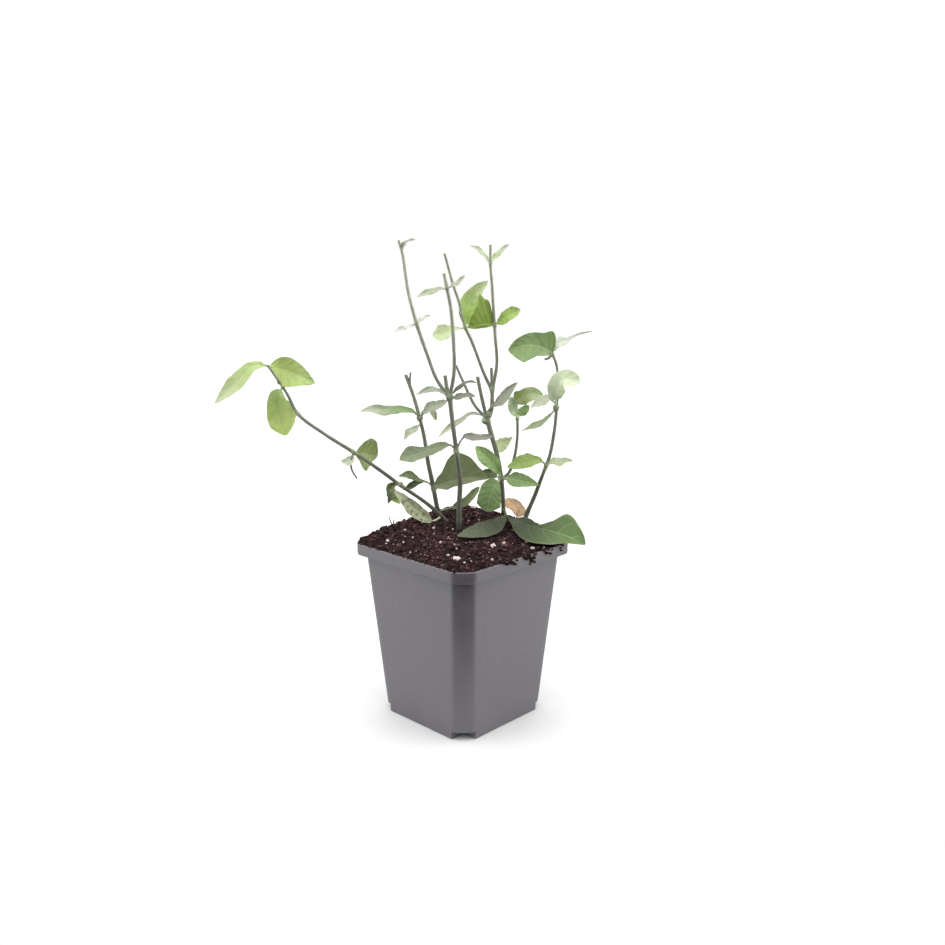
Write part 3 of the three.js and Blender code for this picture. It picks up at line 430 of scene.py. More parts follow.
class SharedEffects:
    """The shader node groups that several finishes use, each built once."""

    GRAIN_FINENESS = 9.0
    RARE_SCALE = 90.0
    SPECK_EDGE = 0.06
    VEIN_RELIEF = 0.45

    def __init__(self) -> None:
        """Builds every group."""
        self.clouding = self._clouding()
        self.specks = self._specks()
        self.veins = self._veins()

    @staticmethod
    def _start(
        name: str, takes: Sequence[tuple[str, float]], gives: Sequence[str]
    ) -> tuple[Graph, dict[str, Socket], Node]:
        """Starts a group.

        Args:
            name: The group's name.
            takes: Names of its inputs and their usual values.
            gives: Names of its outputs.

        Returns:
            Its graph, its input sockets by name and its output node.
        """
        tree = bpy.data.node_groups.new(name, "ShaderNodeTree")
        for label, usual in takes:
            socket = tree.interface.new_socket(label, in_out="INPUT", socket_type="NodeSocketFloat")
            socket.default_value = usual
        for label in gives:
            tree.interface.new_socket(label, in_out="OUTPUT", socket_type="NodeSocketFloat")
        entry = tree.nodes.new("NodeGroupInput")
        leave = tree.nodes.new("NodeGroupOutput")
        return Graph(tree), {label: entry.outputs[label] for label, _ in takes}, leave

    def _clouding(self) -> Tree:
        """Soft clouding at one scale with finer grain in it, for colour, roughness and relief."""
        usual = (("Scale", 120.0), ("Low", 0.35), ("High", 0.65))
        graph, takes, leave = self._start("clouding", usual, ("Clouds", "Grain"))
        wide = graph.noise(takes["Scale"], 4.0, 0.5)
        fine = graph.noise(graph.times(takes["Scale"], self.GRAIN_FINENESS), 2.0, 0.5)
        graph.feed(leave, {"Clouds": graph.fit(wide, takes["Low"], takes["High"]), "Grain": fine})
        return graph.tree

    def _specks(self) -> Tree:
        """Scattered small dots, such as dust and pores."""
        graph, takes, leave = self._start("specks", (("Scale", 400.0), ("Size", 0.16)), ("Specks",))
        cells = graph.node("ShaderNodeTexVoronoi", {"Vector": graph.place(), "Scale": takes["Scale"]})
        rare = graph.noise(self.RARE_SCALE, 1.0, 0.5)
        size = graph.times(takes["Size"], graph.fit(rare, 0.5, 0.7))
        near = graph.math("SUBTRACT", size, cells.outputs["Distance"])
        graph.feed(leave, {"Specks": graph.fit(near, 0.0, self.SPECK_EDGE)})
        return graph.tree

    def _veins(self) -> Tree:
        """A leaf's midrib, side veins and margin, from the places kept on its points."""
        usual = (("Pairs", VEIN_PAIRS), ("Sweep", VEIN_SWEEP), ("Rib Width", 0.05))
        graph, takes, leave = self._start("leaf_veins", usual, ("Rib", "Veins", "Margin", "Relief"))
        across = graph.math("ABSOLUTE", graph.value("across"))
        rib = graph.math("SUBTRACT", 1.0, graph.math("DIVIDE", across, takes["Rib Width"]), clamp=True)
        bend = graph.times(graph.math("POWER", across, VEIN_POWER), takes["Sweep"])
        phase = graph.math("SUBTRACT", graph.times(graph.value("along"), takes["Pairs"]), bend)
        beat = graph.math("ABSOLUTE", graph.math("SUBTRACT", graph.math("FRACT", phase), 0.5))
        veins = graph.times(graph.fit(beat, 0.4, 0.5), graph.fit(across, 0.95, 0.5))
        margin = graph.fit(across, 0.84, 1.0)
        relief = graph.plus(rib, graph.times(veins, self.VEIN_RELIEF))
        graph.feed(leave, {"Rib": rib, "Veins": veins, "Margin": margin, "Relief": relief})
        return graph.tree


def new_material(name: str) -> tuple[Material, Graph, Node]:
    """Starts a material and gives it with the graph of its nodes and its main shader."""
    material = bpy.data.materials.new(name)
    material.use_nodes = True
    graph = Graph(material.node_tree)
    return material, graph, material.node_tree.nodes["Principled BSDF"]


class Finish:
    """A finish: what goes into the main shader of the material that it is made into."""

    name: str

    def looks(self, graph: Graph, effects: SharedEffects) -> Inputs:
        """Gives what goes into each of the main shader's sockets: a value or another socket."""
        raise NotImplementedError

    def material(self, effects: SharedEffects) -> Material:
        """Builds the material with the shared node groups."""
        material, graph, shader = new_material(self.name)
        graph.feed(shader, self.looks(graph, effects))
        return material


@dataclass(frozen=True)
class LeafFinish(Finish):
    """Living or dried leaf: the colours are kept on the points, and this adds veins, clouding and gloss."""

    name: str
    roughness: float = 0.46
    specular: float = 0.42
    vein_share: float = 0.3
    rib_share: float = 0.8
    margin_share: float = 0.7
    cloud_share: float = 0.44
    blot_share: float = 0.75
    under_share: float = 0.45
    grain_share: float = 0.5
    relief: float = 0.35
    depth: float = 0.00025
    deeper: Colour = (0.68, 0.76, 0.6, 1.0)
    blot: Colour = shade(96, 102, 70)

    def looks(self, graph: Graph, effects: SharedEffects) -> Inputs:
        """Gives veins, clouding and gloss over the kept colours."""
        veins = graph.group(effects.veins, {"Pairs": VEIN_PAIRS})
        clouding = graph.group(effects.clouding, {"Scale": 160.0, "Low": 0.3, "High": 0.7})
        body = graph.colour("tone")
        rib = graph.colour("rib_tone")
        deeper = graph.mix(1.0, body, self.deeper, "MULTIPLY")
        colour = graph.mix(graph.times(clouding["Clouds"], self.cloud_share), body, deeper)
        blots = graph.times(graph.fit(graph.noise(420.0, 2.0), 0.52, 0.64), graph.value("mottle"))
        colour = graph.mix(graph.times(blots, self.blot_share), colour, self.blot)
        edge = graph.colour("rim_tone")
        colour = graph.mix(graph.times(veins["Margin"], self.margin_share), colour, edge)
        colour = graph.mix(graph.times(veins["Veins"], self.vein_share), colour, rib)
        colour = graph.mix(graph.times(veins["Rib"], self.rib_share), colour, rib)
        colour = graph.mix(graph.value("under"), colour, graph.mix(self.under_share, colour, rib))
        height = graph.plus(veins["Relief"], graph.times(clouding["Grain"], self.grain_share))
        rough = graph.fit(clouding["Grain"], 0.3, 0.7, self.roughness - 0.05, self.roughness + 0.08)
        return {
            "Base Color": colour,
            "Roughness": rough,
            "Specular IOR Level": self.specular,
            "Normal": graph.bump(self.relief, self.depth, height, True),
        }


@dataclass(frozen=True)
class BarkFinish(Finish):
    """Thin bark: brown at the foot, grey-green above, with paler joints."""

    name: str = "thin_bark"
    foot: Colour = shade(66, 57, 48)
    low: Colour = shade(108, 111, 96)
    middle: Colour = shade(150, 155, 138)
    top: Colour = shade(190, 194, 172)
    joint: Colour = shade(176, 186, 150)
    darker: Colour = (0.62, 0.62, 0.6, 1.0)
    streak_share: float = 0.45
    pore_share: float = 0.5
    wander: float = 0.06
    roughness: float = 0.55
    specular: float = 0.35

    def looks(self, graph: Graph, effects: SharedEffects) -> Inputs:
        """Gives tones by height, streaks, joints and pores."""
        clouding = graph.group(effects.clouding, {"Scale": 260.0, "Low": 0.32, "High": 0.68})
        pores = graph.group(effects.specks, {"Scale": 900.0, "Size": 0.3})["Specks"]
        wander = graph.fit(graph.noise(70.0), 0.3, 0.7, -self.wander, self.wander)
        height = graph.plus(graph.value("height"), wander)
        colour = graph.mix(graph.fit(height, 0.0, 0.12), self.foot, self.low)
        colour = graph.mix(graph.fit(height, 0.12, 0.5), colour, self.middle)
        colour = graph.mix(graph.fit(height, 0.5, 0.95), colour, self.top)
        streaks = graph.fit(graph.noise(900.0, 2.0, 0.6, 0.12), 0.35, 0.65)
        darker = graph.mix(1.0, colour, self.darker, "MULTIPLY")
        colour = graph.mix(graph.times(streaks, self.streak_share), colour, darker)
        colour = graph.mix(graph.value("joint"), colour, self.joint)
        colour = graph.mix(graph.times(pores, self.pore_share), colour, self.foot)
        rough = graph.fit(clouding["Clouds"], 0.0, 1.0, self.roughness - 0.06, self.roughness + 0.1)
        return {
            "Base Color": colour,
            "Roughness": rough,
            "Specular IOR Level": self.specular,
            "Normal": graph.bump(0.4, 0.0002, graph.plus(streaks, pores)),
        }


@dataclass(frozen=True)
class PotFinish(Finish):
    """Thin satin grey plastic, faintly streaked by moulding, with pale scuffs and dust towards the rim."""

    name: str = "moulded_pot_plastic"
    dark: Colour = shade(82, 79, 86)
    light: Colour = shade(91, 88, 95)
    dust: Colour = shade(150, 145, 143)
    dustiness: float = 0.09
    dust_from: float = 0.02
    dust_to: float = 0.1
    scuff_share: float = 0.6
    roughness: float = 0.46
    specular: float = 0.95

    def looks(self, graph: Graph, effects: SharedEffects) -> Inputs:
        """Gives streaks, scuffs and dust."""
        clouding = graph.group(effects.clouding, {"Scale": 38.0, "Low": 0.36, "High": 0.64})
        scuffs = graph.group(effects.specks, {"Scale": 330.0, "Size": 0.15})["Specks"]
        streaks = graph.fit(graph.noise(140.0, 3.0, 0.6, 0.1), 0.35, 0.65)
        share = graph.plus(graph.times(clouding["Clouds"], 0.6), graph.times(streaks, 0.4))
        height = graph.along(graph.place(), (0.0, 0.0, 1.0))
        dust = graph.fit(height, self.dust_from, self.dust_to, 0.0, self.dustiness)
        colour = graph.mix(share, self.dark, self.light)
        colour = graph.mix(dust, colour, self.dust)
        colour = graph.mix(graph.times(scuffs, self.scuff_share), colour, self.dust)
        relief = graph.plus(graph.times(graph.noise(2600.0, 2.0), 0.3), graph.times(streaks, 0.7))
        return {
            "Base Color": colour,
            "Roughness": graph.fit(share, 0.0, 1.0, self.roughness - 0.05, self.roughness + 0.07),
            "Specular IOR Level": self.specular,
            "Normal": graph.bump(0.16, 0.0003, relief),
        }


@dataclass(frozen=True)
class EarthFinish(Finish):
    """Damp soil or crumbs of it: each crumb keeps its own colour on its points."""

    name: str
    dark: Colour = shade(24, 15, 17)
    light: Colour = shade(60, 42, 42)
    dimmer: Colour = (0.55, 0.53, 0.54, 1.0)
    brighter: Colour = (1.3, 1.25, 1.25, 1.0)
    own_share: float = 1.0
    roughness: float = 0.85
    specular: float = 0.12

    def looks(self, graph: Graph, effects: SharedEffects) -> Inputs:
        """Gives each crumb's own colour, or the ground's."""
        clouding = graph.group(effects.clouding, {"Scale": 420.0, "Low": 0.34, "High": 0.66})
        grain = clouding["Grain"]
        ground = graph.mix(clouding["Clouds"], self.dark, self.light)
        shading = graph.mix(grain, self.dimmer, self.brighter)
        shaded = graph.mix(1.0, graph.colour("tone"), shading, "MULTIPLY")
        return {
            "Base Color": graph.mix(self.own_share, ground, shaded),
            "Roughness": graph.fit(grain, 0.3, 0.7, self.roughness - 0.15, self.roughness + 0.1),
            "Specular IOR Level": self.specular,
            "Normal": graph.bump(0.8, 0.0005, grain),
        }


@dataclass(frozen=True)
class PerliteFinish(Finish):
    """White porous mineral grains, some with a pink tinge from the soil."""

    name: str = "perlite_grain"
    clean: Colour = (1.0, 1.0, 1.0, 1.0)
    stained: Colour = (0.74, 0.56, 0.54, 1.0)
    pit_share: float = 0.5
    roughness: float = 0.9

    def looks(self, graph: Graph, effects: SharedEffects) -> Inputs:
        """Gives clouding and pits."""
        clouding = graph.group(effects.clouding, {"Scale": 300.0, "Low": 0.4, "High": 0.7})
        pits = graph.group(effects.specks, {"Scale": 2400.0, "Size": 0.35})["Specks"]
        colour = graph.mix(clouding["Clouds"], self.clean, self.stained)
        colour = graph.mix(graph.times(pits, self.pit_share), colour, self.stained)
        return {
            "Base Color": graph.mix(1.0, graph.colour("tone"), colour, "MULTIPLY"),
            "Roughness": self.roughness,
            "Normal": graph.bump(0.6, 0.0003, clouding["Grain"]),
        }


@dataclass(frozen=True)
class Studio:
    """The pale floor, the soft light round the plant and the camera that looks down a little at it."""

    focal_length: float = 35.877
    sensor_width: float = 36
    near: float = 0.01
    far: float = 50
    turn: float = 44.01
    pitch: float = 11.693
    camera_place: Point = (364.94, -369.71, 248.33)
    floor_drop: float = 0.0003
    sheet_before: float = 0.125
    sheet_beside: float = 2.0
    sheet_behind: float = 3.0
    side_light: float = 3.5
    top_light: float = 2.03
    back_light: float = 0.43
    base_light: float = 0.08
    floor_tone: Colour = (0.85, 0.85, 0.845, 1.0)
    floor_light: Colour = (0.88, 0.88, 0.88, 1.0)

    @property
    def right(self) -> Vector:
        """The direction to the right in the picture."""
        return Vector((math.cos(math.radians(self.turn)), math.sin(math.radians(self.turn)), 0.0))

    @property
    def away(self) -> Vector:
        """The level direction away from the camera."""
        return Vector((-self.right.y, self.right.x, 0.0))

    def build(self) -> None:
        """Sets up everything that isn't part of the object."""
        self._camera()
        self._surround()
        self._floor()
        bpy.context.scene.view_settings.view_transform = "Standard"

    def _camera(self) -> None:
        """Places the camera."""
        data = bpy.data.cameras.new("camera")
        data.lens = self.focal_length
        data.sensor_width = self.sensor_width
        data.clip_start = self.near
        data.clip_end = self.far
        camera = bpy.data.objects.new("camera", data)
        camera.location = Vector(self.camera_place) * MILLIMETRE
        camera.rotation_euler = (math.radians(90 - self.pitch), 0, math.radians(self.turn))
        bpy.context.scene.collection.objects.link(camera)
        bpy.context.scene.camera = camera

    def _surround(self) -> None:
        """Makes the surround: white to the camera, and as light brightest above and at both sides."""
        world = bpy.data.worlds.new("soft_white_room")
        world.use_nodes = True
        bpy.context.scene.world = world
        graph = Graph(world.node_tree)
        direction = graph.node("ShaderNodeTexCoord").outputs["Generated"]
        upwards = graph.along(direction, (0.0, 0.0, 1.0))
        sides = graph.math("POWER", graph.math("ABSOLUTE", graph.along(direction, self.right)), 6.0)
        above = graph.math("POWER", graph.math("MAXIMUM", upwards, 0.0), 1.5)
        behind = graph.math("POWER", graph.math("MAXIMUM", graph.along(direction, self.away), 0.0), 2.0)
        light = graph.plus(graph.times(sides, self.side_light), self.base_light)
        light = graph.plus(light, graph.times(above, self.top_light))
        light = graph.plus(light, graph.times(behind, self.back_light))
        light = graph.times(light, graph.math("GREATER_THAN", upwards, 0.0))
        seen = graph.node("ShaderNodeLightPath").outputs["Is Camera Ray"]
        strength = graph.plus(graph.times(light, graph.math("SUBTRACT", 1.0, seen)), seen)
        looks = {"Color": (1.0, 1.0, 1.0, 1.0), "Strength": strength}
        graph.feed(world.node_tree.nodes["Background"], looks)

    def _floor(self) -> None:
        """Lays the floor: a pale sheet that ends a little way before the pot, faintly uneven in tone."""
        material, graph, shader = new_material("pale_floor")
        clouds = graph.fit(graph.noise(3.0), 0.3, 0.7)
        tone = graph.mix(clouds, self.floor_tone, self.floor_light)
        graph.feed(shader, {"Base Color": tone, "Roughness": 0.6, "Specular IOR Level": 0.2})
        points = []
        for ahead, side in ((-1, -1), (-1, 1), (1, 1), (1, -1)):
            reach = self.sheet_before if ahead < 0 else self.sheet_behind
            place = self.away * ahead * reach + self.right * side * self.sheet_beside
            points.append(place - Vector((0.0, 0.0, self.floor_drop)))
        mesh = bpy.data.meshes.new("floor")
        mesh.from_pydata(points, [], [(0, 1, 2, 3)])
        mesh.materials.append(material)
        floor = bpy.data.objects.new("floor", mesh)
        bpy.context.scene.collection.objects.link(floor)


@dataclass(frozen=True)
class Cut:
    """What takes part in a boolean step: a closed mesh in the pot's space."""

    points: tuple[Vector, ...]
    faces: tuple[tuple[int, ...], ...]

    def object(self, name: str) -> bpy.types.Object:
        """Makes the mesh an object of the scene, at the pot's size."""
        mesh = bpy.data.meshes.new(name)
        mesh.from_pydata([POT_SPACE @ point for point in self.points], [], self.faces)
        made = bpy.data.objects.new(name, mesh)
        bpy.context.scene.collection.objects.link(made)
        return made


def box_cut(low: Point, high: Point) -> Cut:
    """Makes a box between two corners."""
    points = []
    for z in (low[2], high[2]):
        for x, y in ((low[0], low[1]), (high[0], low[1]), (high[0], high[1]), (low[0], high[1])):
            points.append(Vector((x, y, z)))
    faces = ((3, 2, 1, 0), (4, 5, 6, 7), (0, 1, 5, 4), (1, 2, 6, 5), (2, 3, 7, 6), (3, 0, 4, 7))
    return Cut(tuple(points), faces)


def shaped(start: Cut, cuts: Sequence[Cut]) -> bpy.types.Mesh:
    """Cuts solids from another one.

    Args:
        start: The solid that they are cut from.
        cuts: What is cut away.

    Returns:
        The finished mesh, in metres.
    """
    body = start.object("shaping")
    helpers = []
    for number, cut in enumerate(cuts):
        helper = cut.object(f"shaping_{number}")
        helpers.append(helper)
        modifier = body.modifiers.new(f"step_{number}", "BOOLEAN")
        modifier.operation = "DIFFERENCE"
        modifier.object = helper
        modifier.solver = "EXACT"
    bpy.context.view_layer.update()
    graph = bpy.context.evaluated_depsgraph_get()
    mesh = bpy.data.meshes.new_from_object(body.evaluated_get(graph))
    for used in (body, *helpers):
        bpy.data.objects.remove(used)
    return mesh


def stacked(rings: Sequence[Sequence[Vector]]) -> Cut:
    """Makes the closed solid between rings of points, which run counter-clockwise and stack upwards."""
    count = len(rings[0])
    top = (len(rings) - 1) * count
    faces = lattice_faces(len(rings), count, True)
    faces.append(tuple(reversed(range(count))))
    faces.append(tuple(range(top, top + count)))
    return Cut(tuple(point for ring in rings for point in ring), tuple(faces))


def as_cut(mesh: bpy.types.Mesh) -> Cut:
    """Reads a shaped mesh back as a solid in the pot's own lengths."""
    back = POT_SPACE.inverted()
    points = tuple(back @ vertex.co for vertex in mesh.vertices)
    return Cut(points, tuple(tuple(face.vertices) for face in mesh.polygons))


@dataclass(frozen=True)
class SquarePot:
    """The nursery pot: a thin tapered shell with round corners, a rim band and raised corner pockets."""

    height: float = 101
    base_half: float = 34.5
    collar_half: float = 42.2
    rim_half: float = 46
    rim_band: float = 6.5
    corner_radius: float = 8.3
    corner_flat: float = 0.6
    wall: float = 1.1
    floor: float = 1.4
    notch_height: float = 4.5
    notch_side: float = 9.2
    drain_radius: float = 2.6
    corner_steps: int = 12
    wall_steps: int = 14
    lip_steps: int = 4
    bow: float = 0.22
    pocket_reach: float = 20

    SIDE_SHARES = (0.03, 0.1, 0.22, 0.36, 0.5, 0.64, 0.78, 0.9, 0.97)
    BAND_EASE = ((0.3, 0.05), (0.1, 0.25), (0.0, 0.8))
    DRAIN_SIDES = 24
    DRAIN_SHIFT = 1

    @property
    def band_foot(self) -> float:
        """Height at which the rim band starts."""
        return self.height - self.rim_band

    def wall_half(self, height: float) -> float:
        """Half width of the outer wall at a height below the rim band."""
        return self.base_half + (self.collar_half - self.base_half) * height / self.band_foot

    def inside_half(self, height: float, inset: float = 0.0) -> float:
        """Half width of the hollow at a height, less an inset."""
        if height > self.band_foot + self.wall:
            return self.rim_half - self.wall - inset
        return self.wall_half(height) - self.wall - inset

    def corner_point(self, turn: float) -> Vector:
        """A place on a corner of radius 1, from 0 to 1 along it: partly round and partly cut across."""
        angle = turn * math.pi / 2
        across = lerp(math.cos(angle), 1 - turn, self.corner_flat)
        return Vector((across, lerp(math.sin(angle), turn, self.corner_flat), 0))

    def ring(self, half: float, radius: float, height: float, bow: float = 0.0) -> list[Vector]:
        """Lists a rounded square, counter-clockwise from above.

        Args:
            half: Half its width.
            radius: Radius of its corners.
            height: Its height.
            bow: How far the middle of each side bends in.

        Returns:
            Its points.
        """
        inner = half - radius
        points = []
        for corner in range(4):
            quarter = Matrix.Rotation(corner * math.pi / 2, 3, "Z")
            centre = quarter @ Vector((inner, inner, height))
            for step in range(self.corner_steps + 1):
                points.append(centre + quarter @ self.corner_point(step / self.corner_steps) * radius)
            turn = Matrix.Rotation((corner + 1) * math.pi / 2, 3, "Z")
            for share in self.SIDE_SHARES:
                dip = bow * math.sin(math.pi * share) ** 2
                points.append(turn @ Vector((half - dip, inner * (2 * share - 1), height)))
        return points

    def loft(self, levels: Sequence[Level]) -> Cut:
        """Makes the solid between rounded squares.

        Args:
            levels: Half width, corner radius, height and bow of each, from below.

        Returns:
            The closed solid.
        """
        return stacked([self.ring(*level) for level in levels])

    def _walls(self, low: float, high: float, inset: float) -> list[Level]:
        """Lists levels of the tapered wall.

        Args:
            low: Height of the first.
            high: Height of the last.
            inset: How far they lie inside its outer face.

        Returns:
            Each level, as loft takes it.
        """
        levels = []
        for step in range(self.wall_steps + 1):
            share = step / self.wall_steps
            height = lerp(low, high, share)
            half = self.wall_half(min(height, self.band_foot)) - inset
            levels.append((half, self.corner_radius - inset, height, self.bow * math.sin(math.pi * share)))
        return levels

    def _lip(self) -> list[tuple[float, float]]:
        """Steps up the half-round lip: how far each is from the wall's own face, and its height."""
        radius = self.wall / 2
        steps = []
        for step in range(self.lip_steps + 1):
            turn = step / self.lip_steps * math.pi / 2
            steps.append((radius - radius * math.cos(turn), self.height - radius + radius * math.sin(turn)))
        return steps

    def _outside(self) -> Cut:
        """The pot's outer form, filled."""
        levels = self._walls(0.0, self.band_foot, 0.0)
        for inset, rise in self.BAND_EASE:
            levels.append((self.rim_half - inset, self.corner_radius, self.band_foot + rise, 0.0))
        levels += [(self.rim_half - step, self.corner_radius, height, 0.0) for step, height in self._lip()]
        return self.loft(levels)

    def _hollow(self) -> Cut:
        """The space inside, which is cut out."""
        radius = self.corner_radius - self.wall
        inside = self.rim_half - self.wall
        levels = self._walls(self.floor, self.band_foot + self.wall, self.wall)
        levels.append((inside - 0.1, radius, self.band_foot + self.wall + 0.6, 0.0))
        levels += [(inside + step, radius + step, height, 0.0) for step, height in self._lip()]
        levels.append((inside + self.wall / 2, radius + self.wall / 2, self.height + 1, 0.0))
        return self.loft(levels)

    def corner_boxes(self, side: float, low: float, high: float) -> list[Cut]:
        """Makes boxes in the corners of the base.

        Args:
            side: How far they reach in from its sides.
            low: Height of their undersides.
            high: Height of their tops.

        Returns:
            The four boxes.
        """
        boxes = []
        reach = (self.base_half - side, self.base_half + self.pocket_reach)
        for sx, sy in CORNERS:
            xs = sorted(sx * half for half in reach)
            ys = sorted(sy * half for half in reach)
            boxes.append(box_cut((xs[0], ys[0], low), (xs[1], ys[1], high)))
        return boxes

    def _drains(self) -> list[Cut]:
        """Round holes through the roofs of the corner pockets."""
        place = self.base_half - self.notch_side / 2 - self.DRAIN_SHIFT
        turns = [2 * math.pi * turn / self.DRAIN_SIDES for turn in range(self.DRAIN_SIDES)]
        edge = [Vector((math.cos(turn), math.sin(turn), 0)) * self.drain_radius for turn in turns]
        drains = []
        for sx, sy in CORNERS:
            ends = []
            for height in (self.notch_height - 2, self.notch_height + self.wall + 2):
                ends.append([Vector((sx * place, sy * place, height)) + out for out in edge])
            drains.append(stacked(ends))
        return drains

    def build(self, finish: Material) -> None:
        """Makes the pot, with this finish, in place of its plain solid."""
        side, roof = self.notch_side + self.wall, self.notch_height + self.wall
        hollow = as_cut(shaped(self._hollow(), self.corner_boxes(side, -5.0, roof)))
        pockets = self.corner_boxes(self.notch_side, -1.0, self.notch_height)
        mesh = shaped(self._outside(), [hollow, *pockets, *self._drains()])
        piece = finished_piece("square_pot_shell", mesh, finish)
        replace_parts(piece, "square_pot")


def ball(divisions: int) -> tuple[list[Vector], Faces]:
    """Makes a round stone form of radius 1 to be bent into grains.

    Args:
        divisions: How often its faces are divided: 1 gives 20 faces.

    Returns:
        Its points and faces.
    """
    made = bmesh.new()
    bmesh.ops.create_icosphere(made, subdivisions=divisions, radius=1.0)
    points = [vertex.co.copy() for vertex in made.verts]
    faces = [tuple(vertex.index for vertex in face.verts) for face in made.faces]
    made.free()
    return points, faces


@dataclass(frozen=True)
class PottingSoil:
    """The heap of soil in the pot, with its crumbs, bark slivers and white grains.

    The points of all stems and leaves, in the pot's own directions, keep what is strewn clear of them.
    """

    pot: SquarePot
    plants: KDTree
    gap: float = 0.35
    rim_level: float = 98.6
    rise: float = 6.6
    reach: float = 6
    back_rise: float = 6.5
    back_from: float = -18
    back_to: float = 34
    grid_steps: int = 150
    block_edge: float = 97
    small_crumbs: int = 4600
    large_crumbs: int = 640
    lip_crumbs: int = 110
    slivers: int = 130
    small_grains: int = 240
    clearance: float = 0.9
    strewn_inset: float = 1.2
    strewn_corner: float = 6.5
    seed: int = 41

    # Lumps of the surface: how often they come in a millimetre, which of them, and their height
    LUMPS = ((0.11, 3.0, 0.7), (0.33, 8.0, 0.55), (0.9, 5.0, 0.35))
    SETTLED = 0.45
    SIDE_GAPS = 1.5
    SHOULDER = 1.5
    LARGE_SIZE = (0.6, 1.2)
    SMALL_SIZE = (0.24, 0.68)
    CHUNK_SHARE = 0.07
    CHUNK_SCALE = 1.7
    LIP_SIZE = (0.3, 0.85)
    LIP_INSET = (0.4, 1.2)
    SLIVER_LENGTH = (1.6, 5.5)
    SLIVER_WIDTH = (0.14, 0.42)
    SLIVER_TAPER = (0.6, 1, 1, 0.9, 0.5)
    TWIG_PLACE = (-37.8, -19.9)
    TWIG_PRONGS = ((-0.45, 4.2), (0.3, 3.2))
    TWIG_RADII = (0.42, 0.36, 0.3, 0.2)
    THIN_SIDES = 6
    GRAIN_SIZE = (0.18, 0.48)
    # How far things lie above the surface: shares of a crumb's, a large and a small grain's size
    CRUMB_LIFT = (-0.15, 0.35)
    GRAIN_LIFT = 0.55
    SMALL_GRAIN_LIFT = 0.6
    SLIVER_LIFT = 0.25
    # Shares of their size by which crumbs on the rim stand off it, and of its side that they cover
    CLING = 0.2
    LIP_SPAN = 0.85
    LEAN = 0.6
    FLATNESS = (0.55, 0.9)
    LENGTHENING = (0.85, 1.35)
    NOISE_SPAN = 50
    # How strongly a crumb is dented, by dents of two sizes
    DENTS = ((1.5, 0.55), (3.4, 0.3))

    @property
    def mouth(self) -> float:
        """Half width of the pot's mouth."""
        return self.pot.inside_half(self.pot.height)

    def level(self, x: float, y: float) -> float:
        """Height of the soil over a place in the pot's own directions, without its lumps."""
        edge = max(0.0, min(self.mouth - abs(x), self.mouth - abs(y)))
        away = -x * math.sin(PLANT_TURN) + y * math.cos(PLANT_TURN)
        back = smoothstep(away, self.back_from, self.back_to)
        return self.rim_level + self.rise * (1 - math.exp(-edge / self.reach)) + self.back_rise * back

    def surface(self, x: float, y: float) -> float:
        """Height of the soil with its lumps."""
        height = self.level(x, y) - self.SETTLED
        for often, which, high in self.LUMPS:
            height += high * noise.noise(Vector((x * often, y * often, which)))
        return height

    def _rounded(self, a: float, b: float, half: float, radius: float) -> tuple[float, float]:
        """Moves a place of a plain square into a square with round corners.

        Args:
            a: Place across the plain square, from -1 to 1.
            b: Place along it, from -1 to 1.
            half: Half the width of the square with round corners.
            radius: Radius of its corners.

        Returns:
            The place across and along it.
        """
        reach = max(abs(a), abs(b)) * half
        round_part = radius * reach / half
        inner = reach - round_part
        x, y = abs(a) * half, abs(b) * half
        if x > inner and y > inner and round_part > 0:
            place = self.pot.corner_point(math.atan2(y - inner, x - inner) * 2 / math.pi) * round_part
            x, y = inner + place.x, inner + place.y
        return math.copysign(x, a), math.copysign(y, b)

    def _block(self) -> Cut:
        """The block of soil: a fine uneven top, and sides that follow the inside of the pot."""
        steps = self.grid_steps
        inset = self.SIDE_GAPS * self.gap
        half = self.mouth - inset
        radius = self.pot.corner_radius - self.pot.wall - inset
        count = steps + 1
        points = []
        for row in range(count):
            for column in range(count):
                x, y = self._rounded(2 * column / steps - 1, 2 * row / steps - 1, half, radius)
                points.append(Vector((x, y, self.surface(x, y))))
        faces = lattice_faces(count, count, False)
        rim = list(range(steps))
        rim += [row * count + steps for row in range(steps)]
        rim += [steps * count + column for column in range(steps, 0, -1)]
        rim += [row * count for row in range(steps, 0, -1)]
        band = self.pot.band_foot
        floor = self.pot.floor + self.gap
        levels = (
            (half, self.block_edge),
            (self.pot.inside_half(band, inset), band + self.SHOULDER),
            (self.pot.inside_half(floor, inset), floor),
        )
        above = rim
        for width, height in levels:
            first = len(points)
            below = list(range(first, first + len(rim)))
            scale = width / half
            for place in rim:
                points.append(Vector((points[place].x * scale, points[place].y * scale, height)))
            for turn in range(len(rim)):
                beside = (turn + 1) % len(rim)
                faces.append((above[beside], above[turn], below[turn], below[beside]))
            above = below
        faces.append(tuple(reversed(above)))
        return Cut(tuple(points), tuple(faces))

    def _ground(self, finish: Material) -> None:
        """Makes the block, cut free of the pot's corner pockets."""
        side = self.pot.notch_side + self.pot.wall + self.gap
        top = self.pot.notch_height + self.pot.wall + self.gap
        mesh = shaped(self._block(), self.pot.corner_boxes(side, -1.0, top))
        piece = finished_piece("potting_soil_ground", mesh, finish)
        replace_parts(piece, "potting_soil")

    def _lie(self, draw: Random, x: float, y: float, lift: float) -> Matrix:
        """Places a thing on the soil, turned at random.

        Args:
            draw: Gives the random numbers.
            x: Place to the right in the pot's own directions.
            y: Place away in the pot's own directions.
            lift: How far its middle lies above the surface.

        Returns:
            Its place and turn.
        """
        turn = Matrix.Rotation(draw.uniform(0, 2 * math.pi), 4, "Z")
        lean = Matrix.Rotation(draw.uniform(-self.LEAN, self.LEAN), 4, "X")
        return Matrix.Translation((x, y, self.surface(x, y) + lift)) @ turn @ lean

